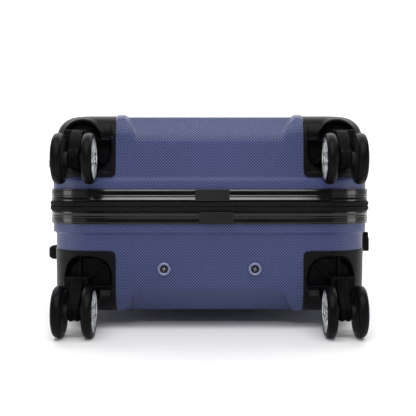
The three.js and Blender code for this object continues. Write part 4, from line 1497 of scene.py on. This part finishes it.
def curved_bar(half_length: float, half_width: float, low: float, high: float,
               steps: int = 40) -> Shape:
    """A soft bar along x whose ends are thinner than its middle.

    Args:
        half_length: Half of its length.
        half_width: Half of its width.
        low: Height of its underside in the middle.
        high: Height of its top.
        steps: Facets along it.

    Returns:
        The bar.
    """
    shape, rings = Shape(), []
    for step in range(steps + 1):
        t = -math.cos(step / steps * math.pi)
        close = math.sqrt(max(1 - abs(t) ** 14, 0.0))
        width = max(half_width * close, 0.3)
        thick = max((high - low) / 2 * (0.72 + 0.28 * (1 - t * t)) * (0.35 + 0.65 * close), 0.3)
        outline = rounded_rectangle(width, thick, min(width, thick) * 0.85, 6, (0, high - thick))
        rings.append([(half_length * t, u, v) for u, v in outline])
    shape.loft(rings)
    return shape


@dataclass
class CarryHandle:
    """A spring-back carry handle: a long base plate and a grip on two legs."""

    shop: Workshop
    name: str
    matrix: Matrix
    half_length: float = 88.0
    half_width: float = 11.0
    plate: float = 2.5
    block_start: float = 62.0
    block_height: float = 7.1
    bar_low: float = 8.0
    bar_high: float = 12.7
    leg_middle: float = 75.0
    rib_pitch: float = 4.2

    def build(self) -> None:
        """Builds the base and the grip."""
        for shape, part, body in ((self._base(), "base", "back_half"),
                                  (self._grip(), "grip", f"{self.name}_grip")):
            node = f"{self.name}_handle_{part}"
            self.shop.piece(f"{node}_moulding", shape.placed(self.matrix), body, "black_plastic",
                            [Finish.BLACK], [node])

    def _base(self) -> Shape:
        """The plate, with a hollow block at each end for a leg."""
        base = Shape()
        base.rounded_block("z", (0, 0), (self.half_length, self.half_width), 6, 0.1, self.plate,
                           0.8)
        middle = (self.block_start + self.half_length) / 2
        half = (self.half_length - self.block_start) / 2
        for sign in SIGNS:
            for edge in SIGNS:
                base.rounded_block("z", (sign * middle, edge * (self.half_width - 1.6)),
                                   (half - 0.6, 1.6), 1.4, 0.4, self.block_height, 0.9)
            for inner in SIGNS:
                base.rounded_block("z", (sign * middle + inner * (half - 3.2), 0.0),
                                   (3.2, self.half_width - 0.2), 2.6, 0.4, self.block_height, 1.2)
        return base

    def _grip(self) -> Shape:
        """The ribbed bar on its two legs, which end in stops."""
        grip = curved_bar(86.0, 10.0, self.bar_low, self.bar_high)
        rib = curved_bar(9.2, 1.1, self.bar_high - 1.2, self.bar_high + 0.15, 10)
        for number in range(-11, 12):
            grip.join(rib, Matrix.Translation((number * self.rib_pitch, 0, 0))
                      @ Matrix.Rotation(math.pi / 2, 4, "Z"))
        for sign in SIGNS:
            centre = (sign * self.leg_middle, 0.0)
            grip.rounded_block("z", centre, (5.4, 6.8), 1.5, -15.8, self.bar_low + 2.5, 0.5)
            grip.rounded_block("z", centre, (7.4, 8.8), 1.5, -16.0, -14.0, 0.5)
        return grip


@dataclass
class Trolley:
    """The telescopic handle: bezel, three stages of tubes, grip, button, bracket and screws."""

    shop: Workshop
    tube_x: float = 48.0
    stroke: float = 235.0
    stages: tuple[tuple[str, float, float, str], ...] = (
        ("outer", 1.2, 3.0, "back_half"), ("mid", 1.0, 2.6, "trolley_mid_stage"),
        ("inner", 0.0, 2.2, "trolley_handle"))

    def build(self) -> None:
        """Builds every piece of the trolley."""
        for hand in HANDS:
            for stage, wall, corner, body in self.stages:
                self._tube(f"trolley_{stage}_tube_{hand}", wall, corner, body)
            self._screw(hand)
        self._bezel()
        self._grip()
        self._button()
        self._bracket()

    def _tube(self, node: str, wall: float, corner: float, body: str) -> None:
        """Builds one stage on one side.

        Args:
            node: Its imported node.
            wall: Its wall, or zero for a solid bar with its two spring pins.
            corner: Radius of its corners.
            body: The body that it rides on.
        """
        low, high, middle, half = self.shop.datum.spans(node)
        shape, centre = Shape(), (middle.x, middle.z)
        if wall:
            rings = []
            for inset, level in ((0.3, low.y), (0.0, low.y + 0.3), (0.0, high.y - 0.3),
                                 (0.3, high.y), (wall, high.y), (wall, low.y)):
                outline = rounded_rectangle(half.x - inset, half.z - inset,
                                            max(corner - inset, 0.3), 5, centre)
                rings.append([(u, level, v) for u, v in reversed(outline)])
            shape.loft(rings, loop=True)
        else:
            shape.rounded_block("y", centre, (half.x, half.z), corner, low.y, high.y, 0.4)
            for level in (low.y + self.stroke, high.y - 30):
                shape.turned([(0.0, 0.0), (2.1, 0.0), (1.6, 0.7), (0.0, 0.8)], "z",
                             (middle.x, level, high.z - 0.1), 20)
        self.shop.piece(f"{node}_profile", shape, body, "aluminium", [Finish.ALUMINIUM], [node])

    def _grip(self) -> None:
        """Builds the grip, with soft edges and ribs towards both ends."""
        low, high, middle, half = self.shop.datum.spans("trolley_grip")
        grip = Shape()
        grip.rounded_block("y", (0, middle.z), (high.x, half.z), 7, low.y, high.y, 3.2)
        for number in range(-13, 14):
            if abs(number) > 4:
                grip.rounded_block("y", (number * 4.0, middle.z), (0.7, half.z + 0.25), 0.6,
                                   low.y + 6, high.y - 3.6, 0.5, finish=1)
        self.shop.piece("trolley_grip_moulding", grip, "trolley_handle", "black_plastic",
                        [Finish.BLACK, Finish.JOINER], ["trolley_grip"])

    def _button(self) -> None:
        """Builds the release button, with ribs for the thumb."""
        low, high, middle, half = self.shop.datum.spans("grip_button")
        button = Shape()
        button.rounded_block("y", (0, middle.z), (high.x, half.z), 3, low.y, high.y, 0.9)
        for number in range(-3, 4):
            button.rounded_block("y", (number * 3.2, middle.z), (0.5, 3.4), 0.4, high.y - 0.5,
                                 high.y + 0.25, 0.2)
        self.shop.piece("grip_button_cap", button, "trolley_button", "grey_plastic",
                        [Finish.GREY], ["grip_button"])

    def _bracket(self) -> None:
        """Builds the bracket that holds the tubes' feet: a plate with six cross walls."""
        low, high, middle, half = self.shop.datum.spans("trolley_foot_bracket")
        bracket = Shape()
        bracket.rounded_block("y", (0, middle.z), (high.x, half.z), 3, low.y, low.y + 3.2, 0.6)
        for x in (-60.2, -36.0, -12.0, 12.0, 36.0, 60.2):
            bracket.rounded_block("x", (middle.y, middle.z), (half.y, half.z), 1.5, x - 1.2,
                                  x + 1.2, 0.4)
        self.shop.piece("trolley_bracket_moulding", bracket, "back_half", "grey_plastic",
                        [Finish.GREY], ["trolley_foot_bracket"])

    def _bezel(self) -> None:
        """Builds the cup that the grip drops into."""
        low, high, middle, half = self.shop.datum.spans("trolley_bezel")
        cup, rings = Shape(), []
        for inset_x, inset_z, level in (
                (4.0, 1.8, low.y), (4.0, 1.8, high.y - 2.0), (0.6, 0.6, high.y - 2.0),
                (0.0, 0.0, high.y - 1.5), (0.0, 0.0, high.y - 0.9), (0.9, 0.9, high.y),
                (6.2, 3.9, high.y), (7.3, 4.9, high.y - 1.0), (7.4, 5.0, low.y + 3.4),
                (8.3, 5.9, low.y + 2.5)):
            outline = rounded_rectangle(high.x - inset_x, half.z - inset_z,
                                        max(7 - inset_z, 3.2), 8, (0, middle.z))
            rings.append([(u, level, v) for u, v in reversed(outline)])
        cup.loft(rings)
        for sign in SIGNS:
            cup.rounded_block("y", (sign * self.tube_x, middle.z), (11.4, 7.6), 3.4, low.y + 2.0,
                              low.y + 2.9, 0.3)
        self.shop.piece("trolley_bezel_cup", cup, "back_half", "black_plastic", [Finish.BLACK],
                        ["trolley_bezel"])

    def _screw(self, hand: str) -> None:
        """Builds a bracket screw: a broad ring, a round head and a painted glint of light steel bars
        for its crossed recess.
        """
        low, high, middle, half = self.shop.datum.spans(f"trolley_screw_{hand}")
        centre, ring, length = Vector((middle.x, low.y, middle.z)), half.x, high.y - low.y
        screw = Shape()
        screw.turned([(0.0, 2.4), (2.2, 2.4), (2.2, length), (0.0, length)], "y", centre, 24)
        screw.turned([(4.5, 1.9), (4.3, 0.7), (4.8, 0.2), (5.6, -0.1), (6.3, 0.1),
                      (ring + 0.3, 0.6), (ring + 0.5, 1.2), (ring + 0.5, 1.9)], "y", centre, 48,
                     True)
        screw.turned([(0.0, 0.75), (2.2, 0.7), (3.4, 0.85), (3.75, 1.2), (4.4, 1.3), (4.4, 2.4),
                      (0.0, 2.4)], "y", centre, 40, finish=1)
        # The cross of light steel bars over the head is a painted glint that stands for the light in
        # its crossed recess.
        bar = Shape()
        bar.rounded_block("y", (0, 0), (2.3, 0.42), 0.3, 0.6, 0.9, 0.1, finish=2)
        for turn in (0.35, 0.35 + math.pi / 2):
            screw.join(bar, Matrix.Translation(centre) @ Matrix.Rotation(turn, 4, "Y"))
        self.shop.piece(f"bracket_screw_{hand}", screw, "back_half", "steel",
                        [Finish.RING, Finish.JOINER, Finish.STEEL], [f"trolley_screw_{hand}"])


@dataclass
class SideFoot:
    """A soft bumper foot on the hinge side."""

    shop: Workshop
    name: str
    dome: float = 6.5
    corner: float = 4.5

    def build(self) -> None:
        """Builds the foot."""
        low, high, middle, half = self.shop.datum.spans(self.name)
        foot, rings = Shape(), []
        levels = [(0.5 + 0.5 * math.cos(a), low.x + self.dome * (1 - math.sin(a)))
                  for a in np.linspace(0, math.pi / 2, 10)]
        for share, level in ((1.0, high.x), *levels):
            outline = rounded_rectangle(half.y * share, half.z * share, self.corner * share, 6,
                                        (middle.y, middle.z))
            rings.append([(level, u, v) for u, v in reversed(outline)])
        foot.loft(rings)
        body = "front_half" if "front" in self.name else "back_half"
        self.shop.piece(f"{self.name}_bumper", foot, body, "black_plastic", [Finish.BLACK],
                        [self.name])


@dataclass
class Lock:
    """The combination lock with three numbered dials and a sliding release."""

    shop: Workshop
    dials: int = 3
    digits: int = 10
    figure_height: float = 2.3
    rim_face: float = 173.2

    def build(self) -> None:
        """Builds the body, the dials and the release."""
        faces = [self.shop.datum.node(f"lock_dial_{i + 1}") for i in range(self.dials)]
        self._case(faces)
        for number, (low, high) in enumerate(faces, 1):
            self._dial(number, low, high)
        self._release()

    def _case(self, faces: list[tuple[Vector, Vector]]) -> None:
        """Builds the body, with a window for each dial.

        Args:
            faces: The lowest and highest corners of the dials.
        """
        low, high = self.shop.datum.node("lock_body")
        body = Shape()

        def section(inset: float) -> list[tuple[float, float]]:
            """The body's section across the case, moved in by a distance."""
            back, face, top, bottom = low.x, high.x - inset, high.z - inset, low.z + inset
            return [(back, bottom), (face - 1.6, bottom), (face - 0.4, bottom + 0.5),
                    (face, bottom + 1.7), (face, top - 6.7), (face - 0.8, top - 5.7),
                    (face - 0.8, top - 1.2), (face - 1.0, top - 0.5), (face - 1.9, top),
                    (self.rim_face, top), (self.rim_face, top - 3.4), (back, top - 4.4)]

        under, over = faces[0][0].z - 0.3, faces[0][1].z + 0.3
        below = [(low.x, low.z + 0.4), (high.x - 1.8, low.z + 0.4), (high.x - 0.6, low.z + 1.2),
                 (high.x - 0.6, under), (low.x + 0.9, under)]
        above = [(low.x, over), (high.x - 0.6, over), (high.x - 1.4, high.z - 0.8),
                 (high.x - 2.4, high.z - 0.3), (self.rim_face + 0.1, high.z - 0.3),
                 (self.rim_face + 0.1, high.z - 3.6), (low.x, high.z - 4.6)]
        edges = [low.y, *(y for a, b in faces for y in (a.y - 0.4, b.y + 0.4)), high.y]
        for start, end in zip(edges[::2], edges[1::2]):
            body.block(section, "y", start, end, 0.45)
        for start, end in zip(edges[1::2], edges[2::2]):
            for bar in (below, above):
                body.block(lambda inset, points=bar: points, "y", start - 0.5, end + 0.5, 0.01, 1)
        self.shop.piece("lock_case", body, "back_half", "black_plastic", [Finish.BLACK],
                        ["lock_body"])

    def _release(self) -> None:
        """Builds the sliding release, with ribs for the finger."""
        low, high, middle, half = self.shop.datum.spans("lock_release")
        slide = Shape()
        slide.rounded_block("x", (middle.y, middle.z), (half.y, half.z), 0.8, low.x, high.x, 0.4)
        for step in range(-2, 3):
            slide.rounded_block("x", (middle.y + step * 1.3, middle.z), (0.3, 2.6), 0.25,
                                high.x - 0.3, high.x + 0.2, 0.15)
        self.shop.piece("lock_release_slide", slide, "lock_release", "grey_plastic",
                        [Finish.GREY], ["lock_release"])

    def _dial(self, number: int, low: Vector, high: Vector) -> None:
        """Builds a dial with a notched edge and ten figures.

        Args:
            number: Which dial it is.
            low: The lowest corner of its node.
            high: The highest corner of its node.
        """
        half, radius = (high.y - low.y) / 2, (high.z - low.z) / 2
        dial, rings, steps = Shape(), [], self.digits * 8
        for share, level in ((0.35, -half), (0.93, -half), (1.0, -half + 0.5), (1.0, half - 0.5),
                             (0.93, half), (0.35, half)):
            ring = []
            for step in range(steps):
                angle = 2 * math.pi * step / steps
                reach = radius * share - (0.45 if step % 8 == 4 and share > 0.5 else 0.0)
                ring.append((reach * math.sin(angle), level, reach * math.cos(angle)))
            rings.append(ring)
        dial.loft(rings)
        out = Matrix.Translation((radius - 0.02, 0, 0))
        for digit in range(self.digits):
            turn = Matrix.Rotation(2 * math.pi * digit / self.digits, 4, "Y")
            dial.join(self._figure(str(digit)), turn @ out, 1)
        dial = dial.placed(Matrix.Translation((low + high) / 2))
        self.shop.piece(f"lock_dial_wheel_{number}", dial, f"lock_dial_{number}",
                        "grey_plastic", [Finish.GREY, Finish.DIGIT], [f"lock_dial_{number}"])

    def _figure(self, text: str) -> Shape:
        """A raised figure that faces +X, with its foot towards -Z."""
        curve = bpy.data.curves.new(f"figure_{text}", "FONT")
        curve.body, curve.size, curve.extrude = text, self.figure_height, 0.06
        curve.align_x, curve.align_y, curve.resolution_u = "CENTER", "CENTER", 2
        thing = in_scene(curve.name, curve)
        mesh = bpy.data.meshes.new_from_object(
            thing.evaluated_get(bpy.context.evaluated_depsgraph_get()))
        shape = Shape()
        shape.add((v.co.z, v.co.x, v.co.y) for v in mesh.vertices)
        for polygon in mesh.polygons:
            shape.face(polygon.vertices)
        bpy.data.objects.remove(thing)
        bpy.data.meshes.remove(mesh)
        return shape


@dataclass
class ZipSlider:
    """A zip slider with its bail and a flat puller that tucks towards the lock."""

    shop: Workshop
    name: str

    def build(self) -> None:
        """Builds the slider."""
        low, high, middle, _ = self.shop.datum.spans(self.name)
        y, shape = middle.y, Shape()
        for z in (-2.6, 2.6):
            shape.rounded_block("x", (y, z), (4.9, 2.0), 1.6, low.x, high.x - 1.6, 0.6)
        shape.rounded_block("x", (y, 0.0), (4.2, 3.4), 2.4, low.x, high.x - 1.9, 0.5)
        link = Shape()
        link.turned([(0.0, -0.9), (0.8, -0.5), (0.9, 0.0), (0.8, 0.5), (0.0, 0.9)], "y",
                    (0, 0, 0), 12)
        for step in range(9):
            angle = math.pi * step / 8
            place = (high.x - 2.2 + 1.7 * math.sin(angle), y, -3.4 * math.cos(angle))
            shape.join(link, Matrix.Translation(place))
        top, tip = -3.0, low.z
        half = [(1.6, top), (1.6, -7.5), (3.0, -9.5), (3.0, tip + 2.2), (1.6, tip + 0.3)]
        outline = [*half, (0.0, tip), *((-u, v) for u, v in reversed(half))]

        def plate(inset: float) -> list[tuple[float, float]]:
            """The puller's outline, moved in by a distance."""
            return [(y - u * (1 - inset / 3), v - inset * (0.6 if v > -5 else -0.6))
                    for u, v in outline]

        shape.block(plate, "x", high.x - 2.1, high.x - 0.7, 0.35)
        shape.rounded_block("x", (y, tip + 9.0), (1.8, 6.0), 1.4, high.x - 2.4, high.x - 0.45,
                            0.25)
        self.shop.piece(f"{self.name}_casting", shape, self.name, "steel", [Finish.STEEL],
                        [self.name])


@dataclass
class HingeGusset:
    """The cloth gusset between the rims on the hinge side, with a lip to each half."""

    shop: Workshop
    ribs: int = 5
    ripple: float = 0.35
    cloth: float = 0.5

    def build(self) -> None:
        """Builds the strip on its own body and a lip on each side."""
        datum = self.shop.datum
        low, high = datum.node("hinge_fabric")
        strip, profile = Shape(), []
        for step in range(self.ribs * 6 + 1):
            share = step / (self.ribs * 6)
            ripple = self.ripple * math.cos(share * self.ribs * 2 * math.pi)
            profile.append((low.x + 0.4 + ripple, low.z + (high.z - low.z) * share))
        profile += [(high.x, high.z), (high.x, low.z)]
        strip.loft([[(x, y, z) for x, z in reversed(profile)] for y in (low.y, high.y)])
        self.shop.piece("hinge_gusset", strip, "hinge_strip", "black_tape", [Finish.TAPE],
                        ["hinge_fabric"], 60.0)
        path = [(-169.5, 5.2), (-171.0, 5.3), (-172.4, 5.3), (-173.6, 5.2), (-174.6, 4.8),
                (-175.2, 4.2), (-175.4, 3.4)]
        loop = [*path, *((x + self.cloth, z - self.cloth - 0.05) for x, z in reversed(path))]
        for end, sign in (("back", -1), ("front", 1)):
            lip, section = Shape(), [(x, z * sign) for x, z in loop[::-sign]]
            lip.loft([[(x, y, z) for x, z in section] for y in np.linspace(low.y, high.y, 9)])
            thing = in_scene(f"{end}_gusset_lip", self.shop.mesh(f"{end}_gusset_lip", lip))
            thing.data.materials.append(Finish.TAPE.material())
            half_side = datum.point((-170.0, 0, 5.25 * sign))
            strip_side = datum.point((-174.6, 0, 4.8 * sign))
            if end == "back":
                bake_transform(thing)
            else:
                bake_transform(thing)


# ------------------------------------------------------------------ interior


@dataclass
class Lining:
    """The cloth lining of one half, drawn in from the walls over the handles and brackets."""

    shop: Workshop
    form: CaseForm
    insets: tuple[float, float, float, float]
    floor: float
    humps: tuple[tuple[float, float, float], ...] = ()
    border: float = 8.6
    edge: float = 14.0
    seed: int = 4

    def build(self) -> None:
        """Builds the lining."""
        form, edge = self.form, self.edge
        low_x, high_x, low_y, high_y = self.insets
        anchors, normals, _ = form.perimeter(spaced(-120, 120, 8), spaced(-184, 184, 8), 12)
        inset = (np.where(normals[:, 0] > 0, high_x, low_x) * normals[:, 0] ** 2
                 + np.where(normals[:, 1] > 0, high_y, low_y) * normals[:, 1] ** 2)
        levels = [(self.border, 9.0), (self.border, 11.0)]
        levels += [(inset, height) for height in np.linspace(22, self.floor - edge, 6)]
        for step in range(1, 7):
            angle = step / 6 * math.pi / 2
            levels.append((inset + edge * (1 - math.cos(angle)),
                           self.floor - edge + edge * math.sin(angle)))
        rings = [[(*p, height) for p in anchors - normals * np.reshape(reach, (-1, 1))]
                 for reach, height in levels]
        last = rings[-1]
        for share in np.linspace(0.04, 0.97, 26):
            rings.append([(p[0] * (1 - share), p[1] * (1 - share), self.floor) for p in last])
        shape = Shape()
        shape.loft(rings, (False, True))
        phase = np.random.default_rng(self.seed).uniform(0, 6.28, 6)
        for p in shape.points:
            for middle, half, height in self.humps:
                near = float(smooth_step(half + 9, half, abs(abs(p.x) - middle)))
                if p.z > height:
                    p.z += (height - p.z) * near
            if p.z > 24:
                ripple = (math.sin(p.x * 0.09 + phase[0]) * math.sin(p.y * 0.05 + phase[1])
                          + 0.6 * math.sin(p.x * 0.05 - p.y * 0.11 + phase[2]))
                p.z -= 0.35 * (1 + ripple)
        self.shop.piece(f"{form.end}_lining", form.mirrored(shape), f"{form.end}_half",
                        "black_tape", [Finish.LINING], (), 60.0, walled(0.7))


@dataclass
class PackingStraps:
    """Two packing straps across the back half, each with a buckle."""

    shop: Workshop
    width: float = 25.0
    thickness: float = 1.5
    height: float = -13.0
    start: float = 10.0
    reach: float = 148.0
    places: tuple[float, ...] = (-95.0, 95.0)

    def build(self) -> None:
        """Builds the straps and their buckles."""
        for number, y in enumerate(self.places):
            self.shop.piece(f"packing_strap_{number}", self._strap(y), "back_half", "black_tape",
                            [Finish.STRAP], (), 50.0)
            self.shop.piece(f"strap_buckle_{number}", self._buckle(y), "back_half",
                            "black_plastic", [Finish.BLACK])

    def _strap(self, y: float) -> Shape:
        """Both halves of a strap, which sag a little."""
        strap = Shape()
        for sign in SIGNS:
            rings = []
            for share in np.arange(25) / 24:
                z = self.height - 1.8 * math.sin(share * math.pi) - 3.0 * share ** 6
                outline = rounded_rectangle(self.width / 2, self.thickness / 2, 0.6, 3, (y, z))
                rings.append([(sign * (self.start + self.reach * share), u, v)
                              for u, v in outline[::sign]])
            strap.loft(rings)
        return strap

    def _buckle(self, y: float) -> Shape:
        """A side release buckle: two bodies, a bridge and its two prongs."""
        buckle, z = Shape(), self.height
        for sign in SIGNS:
            buckle.rounded_block("z", (sign * 14.0, y), (9.0, 16.0), 3.0, z - 2.6, z + 2.6, 1.2)
        buckle.rounded_block("z", (0.0, y), (12.0, 11.0), 2.0, z - 1.8, z + 1.8, 1.0)
        for edge in SIGNS:
            buckle.rounded_block("z", (-4.0, y + edge * 14.0), (10.0, 2.2), 1.8, z - 1.9, z + 1.9,
                                 0.9)
        return buckle


@dataclass
class Divider:
    """The zipped divider of the front half, a cloth held round its border."""

    shop: Workshop
    form: CaseForm
    half_x: float = 164.0
    half_y: float = 231.0
    corner: float = 42.0
    height: float = 15.0
    columns: int = 44
    rows: int = 60
    frames: int = 30
    zip_inset: float = 12.0
    zip_pitch: float = 2.6

    def build(self) -> None:
        """Builds the divider's cloth, its binding and its zip."""
        body, slot = "front_half", "black_tape"
        mesh, area = self._cloth()
        cloth = self.shop.piece("divider_panel", mesh, body, slot, [Finish.LINING], (), 60.0,
                                walled(0.8, 0.0))
        2 * self.half_x * MM
        2 * self.half_y * MM
        self.shop.piece("divider_binding", self._binding(), body, slot, [Finish.TAPE], (), 60.0)
        inset = self.zip_inset
        border = rounded_rectangle(self.half_x - inset, self.half_y - inset, self.corner - inset,
                                   14)
        line = [self.shop.datum.point((u, v, self.height - 1.6)) for u, v in border]
        tree = PathTree("divider_teeth_tree", Finish.GREY)
        teeth = tree.follow("divider_teeth", line, self.zip_pitch, (3.0, 1.3, 1.3), closed=True)
        self.shop.piece("divider_zip", teeth, body, slot, [])

    def _cloth(self) -> tuple[bpy.types.Mesh, float]:
        """The cloth as it sags, and its flat area in square metres."""
        shape, grid = Shape(), []
        for j in range(self.rows + 1):
            grid.append(shape.add(self._squared(2 * i / self.columns - 1, 2 * j / self.rows - 1)
                                  for i in range(self.columns + 1)))
        for low, high in zip(grid, grid[1:]):
            for corners in zip(low, low[1:], high[1:], high):
                shape.face(corners)
        thing = in_scene("divider_cloth", self.shop.mesh("divider_cloth", shape))
        area = sum(polygon.area for polygon in thing.data.polygons)
        self._settle(thing)
        mesh = thing.data
        bpy.data.objects.remove(thing)
        return mesh, area

    def _binding(self) -> Shape:
        """The flat cord that binds the cloth's border."""
        binding, rings = Shape(), []
        border = rounded_rectangle(self.half_x, self.half_y, self.corner, 14)
        for k, (u, v) in enumerate(border):
            before, after = border[k - 1], border[(k + 1) % len(border)]
            way = Vector((after[0] - before[0], after[1] - before[1], 0)).normalized()
            out, centre = Vector((way.y, -way.x, 0)), Vector((u, v, self.height))
            rings.append([centre + out * (2.6 * math.cos(t)) + Vector((0, 0, 1.3 * math.sin(t)))
                          for t in np.linspace(0, 2 * math.pi, 10, endpoint=False)])
        binding.loft(rings, loop=True)
        return binding

    def _squared(self, u: float, v: float) -> tuple[float, float, float]:
        """A point of the rounded panel.

        Args:
            u: Its place across a square of side 2.
            v: Its place along the square.

        Returns:
            The point, in the case's millimetres.
        """
        x, y = u * self.half_x, v * self.half_y
        over_x = abs(x) - (self.half_x - self.corner)
        over_y = abs(y) - (self.half_y - self.corner)
        if over_x > 0 and over_y > 0:
            short = 1 - max(over_x, over_y) / math.hypot(over_x, over_y)
            x -= math.copysign(over_x * short, x)
            y -= math.copysign(over_y * short, y)
        return x, y, self.height

    def _settle(self, thing: bpy.types.Object) -> None:
        """Lets the cloth sag under its own weight with its border held."""
        group = thing.vertex_groups.new(name="border")
        size = np.array([v.co[:2] for v in thing.data.vertices])
        edge = np.abs(size - size.mean(axis=0))
        edge /= edge.max(axis=0)
        held = [i for i, (a, b) in enumerate(edge) if max(a, b) > 0.97 or a + b > 1.75]
        group.add(held, 1.0, "REPLACE")
        cloth = thing.modifiers.new("cloth", "CLOTH")
        cloth.settings.vertex_group_mass = group.name
        cloth.settings.tension_stiffness = cloth.settings.compression_stiffness = 60
        cloth.settings.bending_stiffness = 0.4
        cloth.settings.mass = 0.25
        cloth.settings.quality = 6
        cloth.point_cache.frame_end = self.frames
        for frame in range(1, self.frames + 1):
            bpy.context.scene.frame_set(frame)
        baked(thing)
        bpy.context.scene.frame_set(1)


# ------------------------------------------------------------------ studio


@dataclass
class Studio:
    """Floor, soft lights and the camera at the wheel end."""

    datum: Datum
    distance: float = 840.0
    eye_height: float = 29.0
    lens: float = 68.9
    sensor: float = 36.0
    rise: float = -0.0697
    drift: float = -0.0037
    floor_half: float = 1.6
    floor_near: float = -1.3
    floor_far: float = 3.4

    def camera(self) -> None:
        """Puts the camera in front of the wheel end."""
        data = bpy.data.cameras.new("camera")
        data.lens, data.sensor_width = self.lens, self.sensor
        data.shift_x, data.shift_y = self.drift, self.rise
        data.dof.use_dof = False
        camera = in_scene("camera", data)
        end = END_WALL - self.datum.half_length
        camera.location = self.datum.point((0, end - self.distance, self.eye_height))
        camera.rotation_euler = (math.pi / 2, 0, 0)
        bpy.context.scene.camera = camera

    def floor(self) -> None:
        """Lays the floor under the wheels and the far edge of the back face."""
        half, near, far = self.floor_half, self.floor_near, self.floor_far
        mesh = bpy.data.meshes.new("floor")
        corners = [(-half, near, 0), (half, near, 0), (half, far, 0), (-half, far, 0)]
        mesh.from_pydata(corners, [], [(0, 1, 2, 3)])
        mesh.materials.append(Finish.FLOOR.material())
        floor = in_scene("floor", mesh)
        low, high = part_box("back_shell")
        wheel_low, wheel_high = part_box("tyre_back_left_outer")
        wheel = Vector((0, (wheel_low.y + wheel_high.y) / 2, wheel_low.z))
        edge = Vector((0, high.y - 0.022, low.z))
        floor.rotation_euler = (math.atan2(edge.z - wheel.z, edge.y - wheel.y), 0, 0)
        floor.location = wheel - Vector((0, 0, 0.0003))

    def light(self, name: str, place: Point, aim: Point, size: tuple[float, float],
              power: float) -> None:
        """Hangs one soft box.

        Args:
            name: The light's name.
            place: Where it hangs, in the frame's metres.
            aim: What it points at.
            size: Its width and height in metres.
            power: Its power in watts.
        """
        data = bpy.data.lights.new(name, "AREA")
        data.shape, data.size, data.size_y, data.energy = "RECTANGLE", size[0], size[1], power
        light = in_scene(name, data)
        light.location = place
        way = Vector(aim) - Vector(place)
        light.rotation_euler = way.to_track_quat("-Z", "Y").to_euler()

    def surroundings(self) -> None:
        """Paints the world: white behind the case and underfoot, dark in front of it."""
        world = bpy.data.worlds.new("studio")
        bpy.context.scene.world = world
        world.use_nodes = True
        g = Graph(world.node_tree)
        across = g.add("ShaderNodeSeparateXYZ",
                       inputs={0: g.add("ShaderNodeTexCoord", output="Generated")})
        forward, height = across.sibling("Y"), across.sibling("Z")
        open_side = forward.between(-0.97, -0.88)
        below = (1 - (height + (1 - open_side) * 0.14).between(-0.09, -0.03)) * 0.95
        side = (1 - height.size().between(0.12, 0.55)) * open_side * 0.26
        glow = height.between(0.02, 0.14) * (1 - open_side) * 0.3
        top = height.between(0.5, 0.95) * 0.45
        level = 0.06 + forward.between(0.5, 0.9) * 0.97 + below + side + glow + top
        sky = g.add("ShaderNodeBackground", inputs={"Color": (1, 1, 1, 1), "Strength": level})
        g.add("ShaderNodeOutputWorld", inputs={"Surface": sky})

    def build(self) -> None:
        """Builds the camera, the floor, the surroundings and the lights."""
        self.camera()
        self.floor()
        self.surroundings()
        bpy.context.scene.view_settings.view_transform = "Standard"
        self.light("overhead", (0, -1.15, 1.95), (0, -0.2, 0.05), (2.2, 1.2), 33)
        self.light("behind", (0, 1.7, 2.2), (0, 1.9, 0), (6.0, 2.6), 130)
        self.light("strip", (-0.03, -1.35, 0.84), (0, -0.22, 0.15), (0.62, 0.16), 4.2)
        for hand, sign in HANDS.items():
            self.light(f"{hand}_box", (sign * 1.5, -0.61, 0.16), (sign * 0.15, -0.23, 0.14),
                       (0.62, 0.5), 3.6)


# ------------------------------------------------------------------ main


def case_openings(datum: Datum) -> list[tuple[Point, Point]]:
    """The openings of the back shell: one for the bezel and two for each carry handle's legs."""
    reach, half, deep = 15.0, 6.2, 8.0
    side_x, end_y = datum.half_width, datum.half_length
    low, high = datum.node("trolley_bezel")
    openings = [((low.x + 3.4, end_y - reach, low.z + 1.4), (high.x - 3.4, end_y, high.z - 1.4))]
    side, top = datum.node("side_handle_base"), datum.node("top_handle_base")
    side_z, top_z = (side[0].z + side[1].z) / 2, (top[0].z + top[1].z) / 2
    for sign in SIGNS:
        a, b = sign * CarryHandle.leg_middle - half, sign * CarryHandle.leg_middle + half
        openings.append(((side_x - reach, a, side_z - deep), (side_x, b, side_z + deep)))
        openings.append(((a, end_y - reach, top_z - deep), (b, end_y, top_z + deep)))
    return openings


def fit_handles(shop: Workshop) -> None:
    """Builds the side and the top carry handle."""
    low, high = shop.datum.node("side_handle_base")
    CarryHandle(shop, "side", frame_matrix((0, 1, 0), (0, 0, 1), (1, 0, 0),
                                           (low.x, 0, (low.z + high.z) / 2))).build()
    low, high = shop.datum.node("top_handle_base")
    CarryHandle(shop, "top", frame_matrix((1, 0, 0), (0, 0, -1), (0, 1, 0),
                                          (0, low.y, (low.z + high.z) / 2))).build()


def main() -> None:
    """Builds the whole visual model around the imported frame."""
    logging.basicConfig(level=logging.INFO, format="%(name)s %(message)s")
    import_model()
    datum = Datum.from_frame()
    shop = Workshop(datum)
    Studio(datum).build()
    forms = {end: CaseForm(datum, end) for end in ("front", "back")}
    openings = {"front": [], "back": case_openings(datum)}
    for end, joiner_x in (("front", 3.0), ("back", 7.0)):
        CaseShell(shop, forms[end], openings=openings[end]).build()
        CornerHousing(shop, forms[end]).build()
        Rim(shop, forms[end]).build(joiner_x)
        ZipHalf(shop, forms[end]).build()
        for hand in HANDS:
            Caster(shop, end, hand).build()
        for level in ("lower", "upper"):
            SideFoot(shop, f"side_foot_{end}_{level}").build()
            if end == "back":
                ZipSlider(shop, f"zip_slider_{level}").build()
    fit_handles(shop)
    Trolley(shop).build()
    Lock(shop).build()
    HingeGusset(shop).build()
    Lining(shop, forms["back"], (16, 25, 31, 24), 106.0, ((48.0, 15.0, 68.4),)).build()
    Lining(shop, forms["front"], (12, 12, 29, 21), 91.0).build()
    PackingStraps(shop).build()
    Divider(shop, forms["front"]).build()


if __name__ == "__main__":
    main()
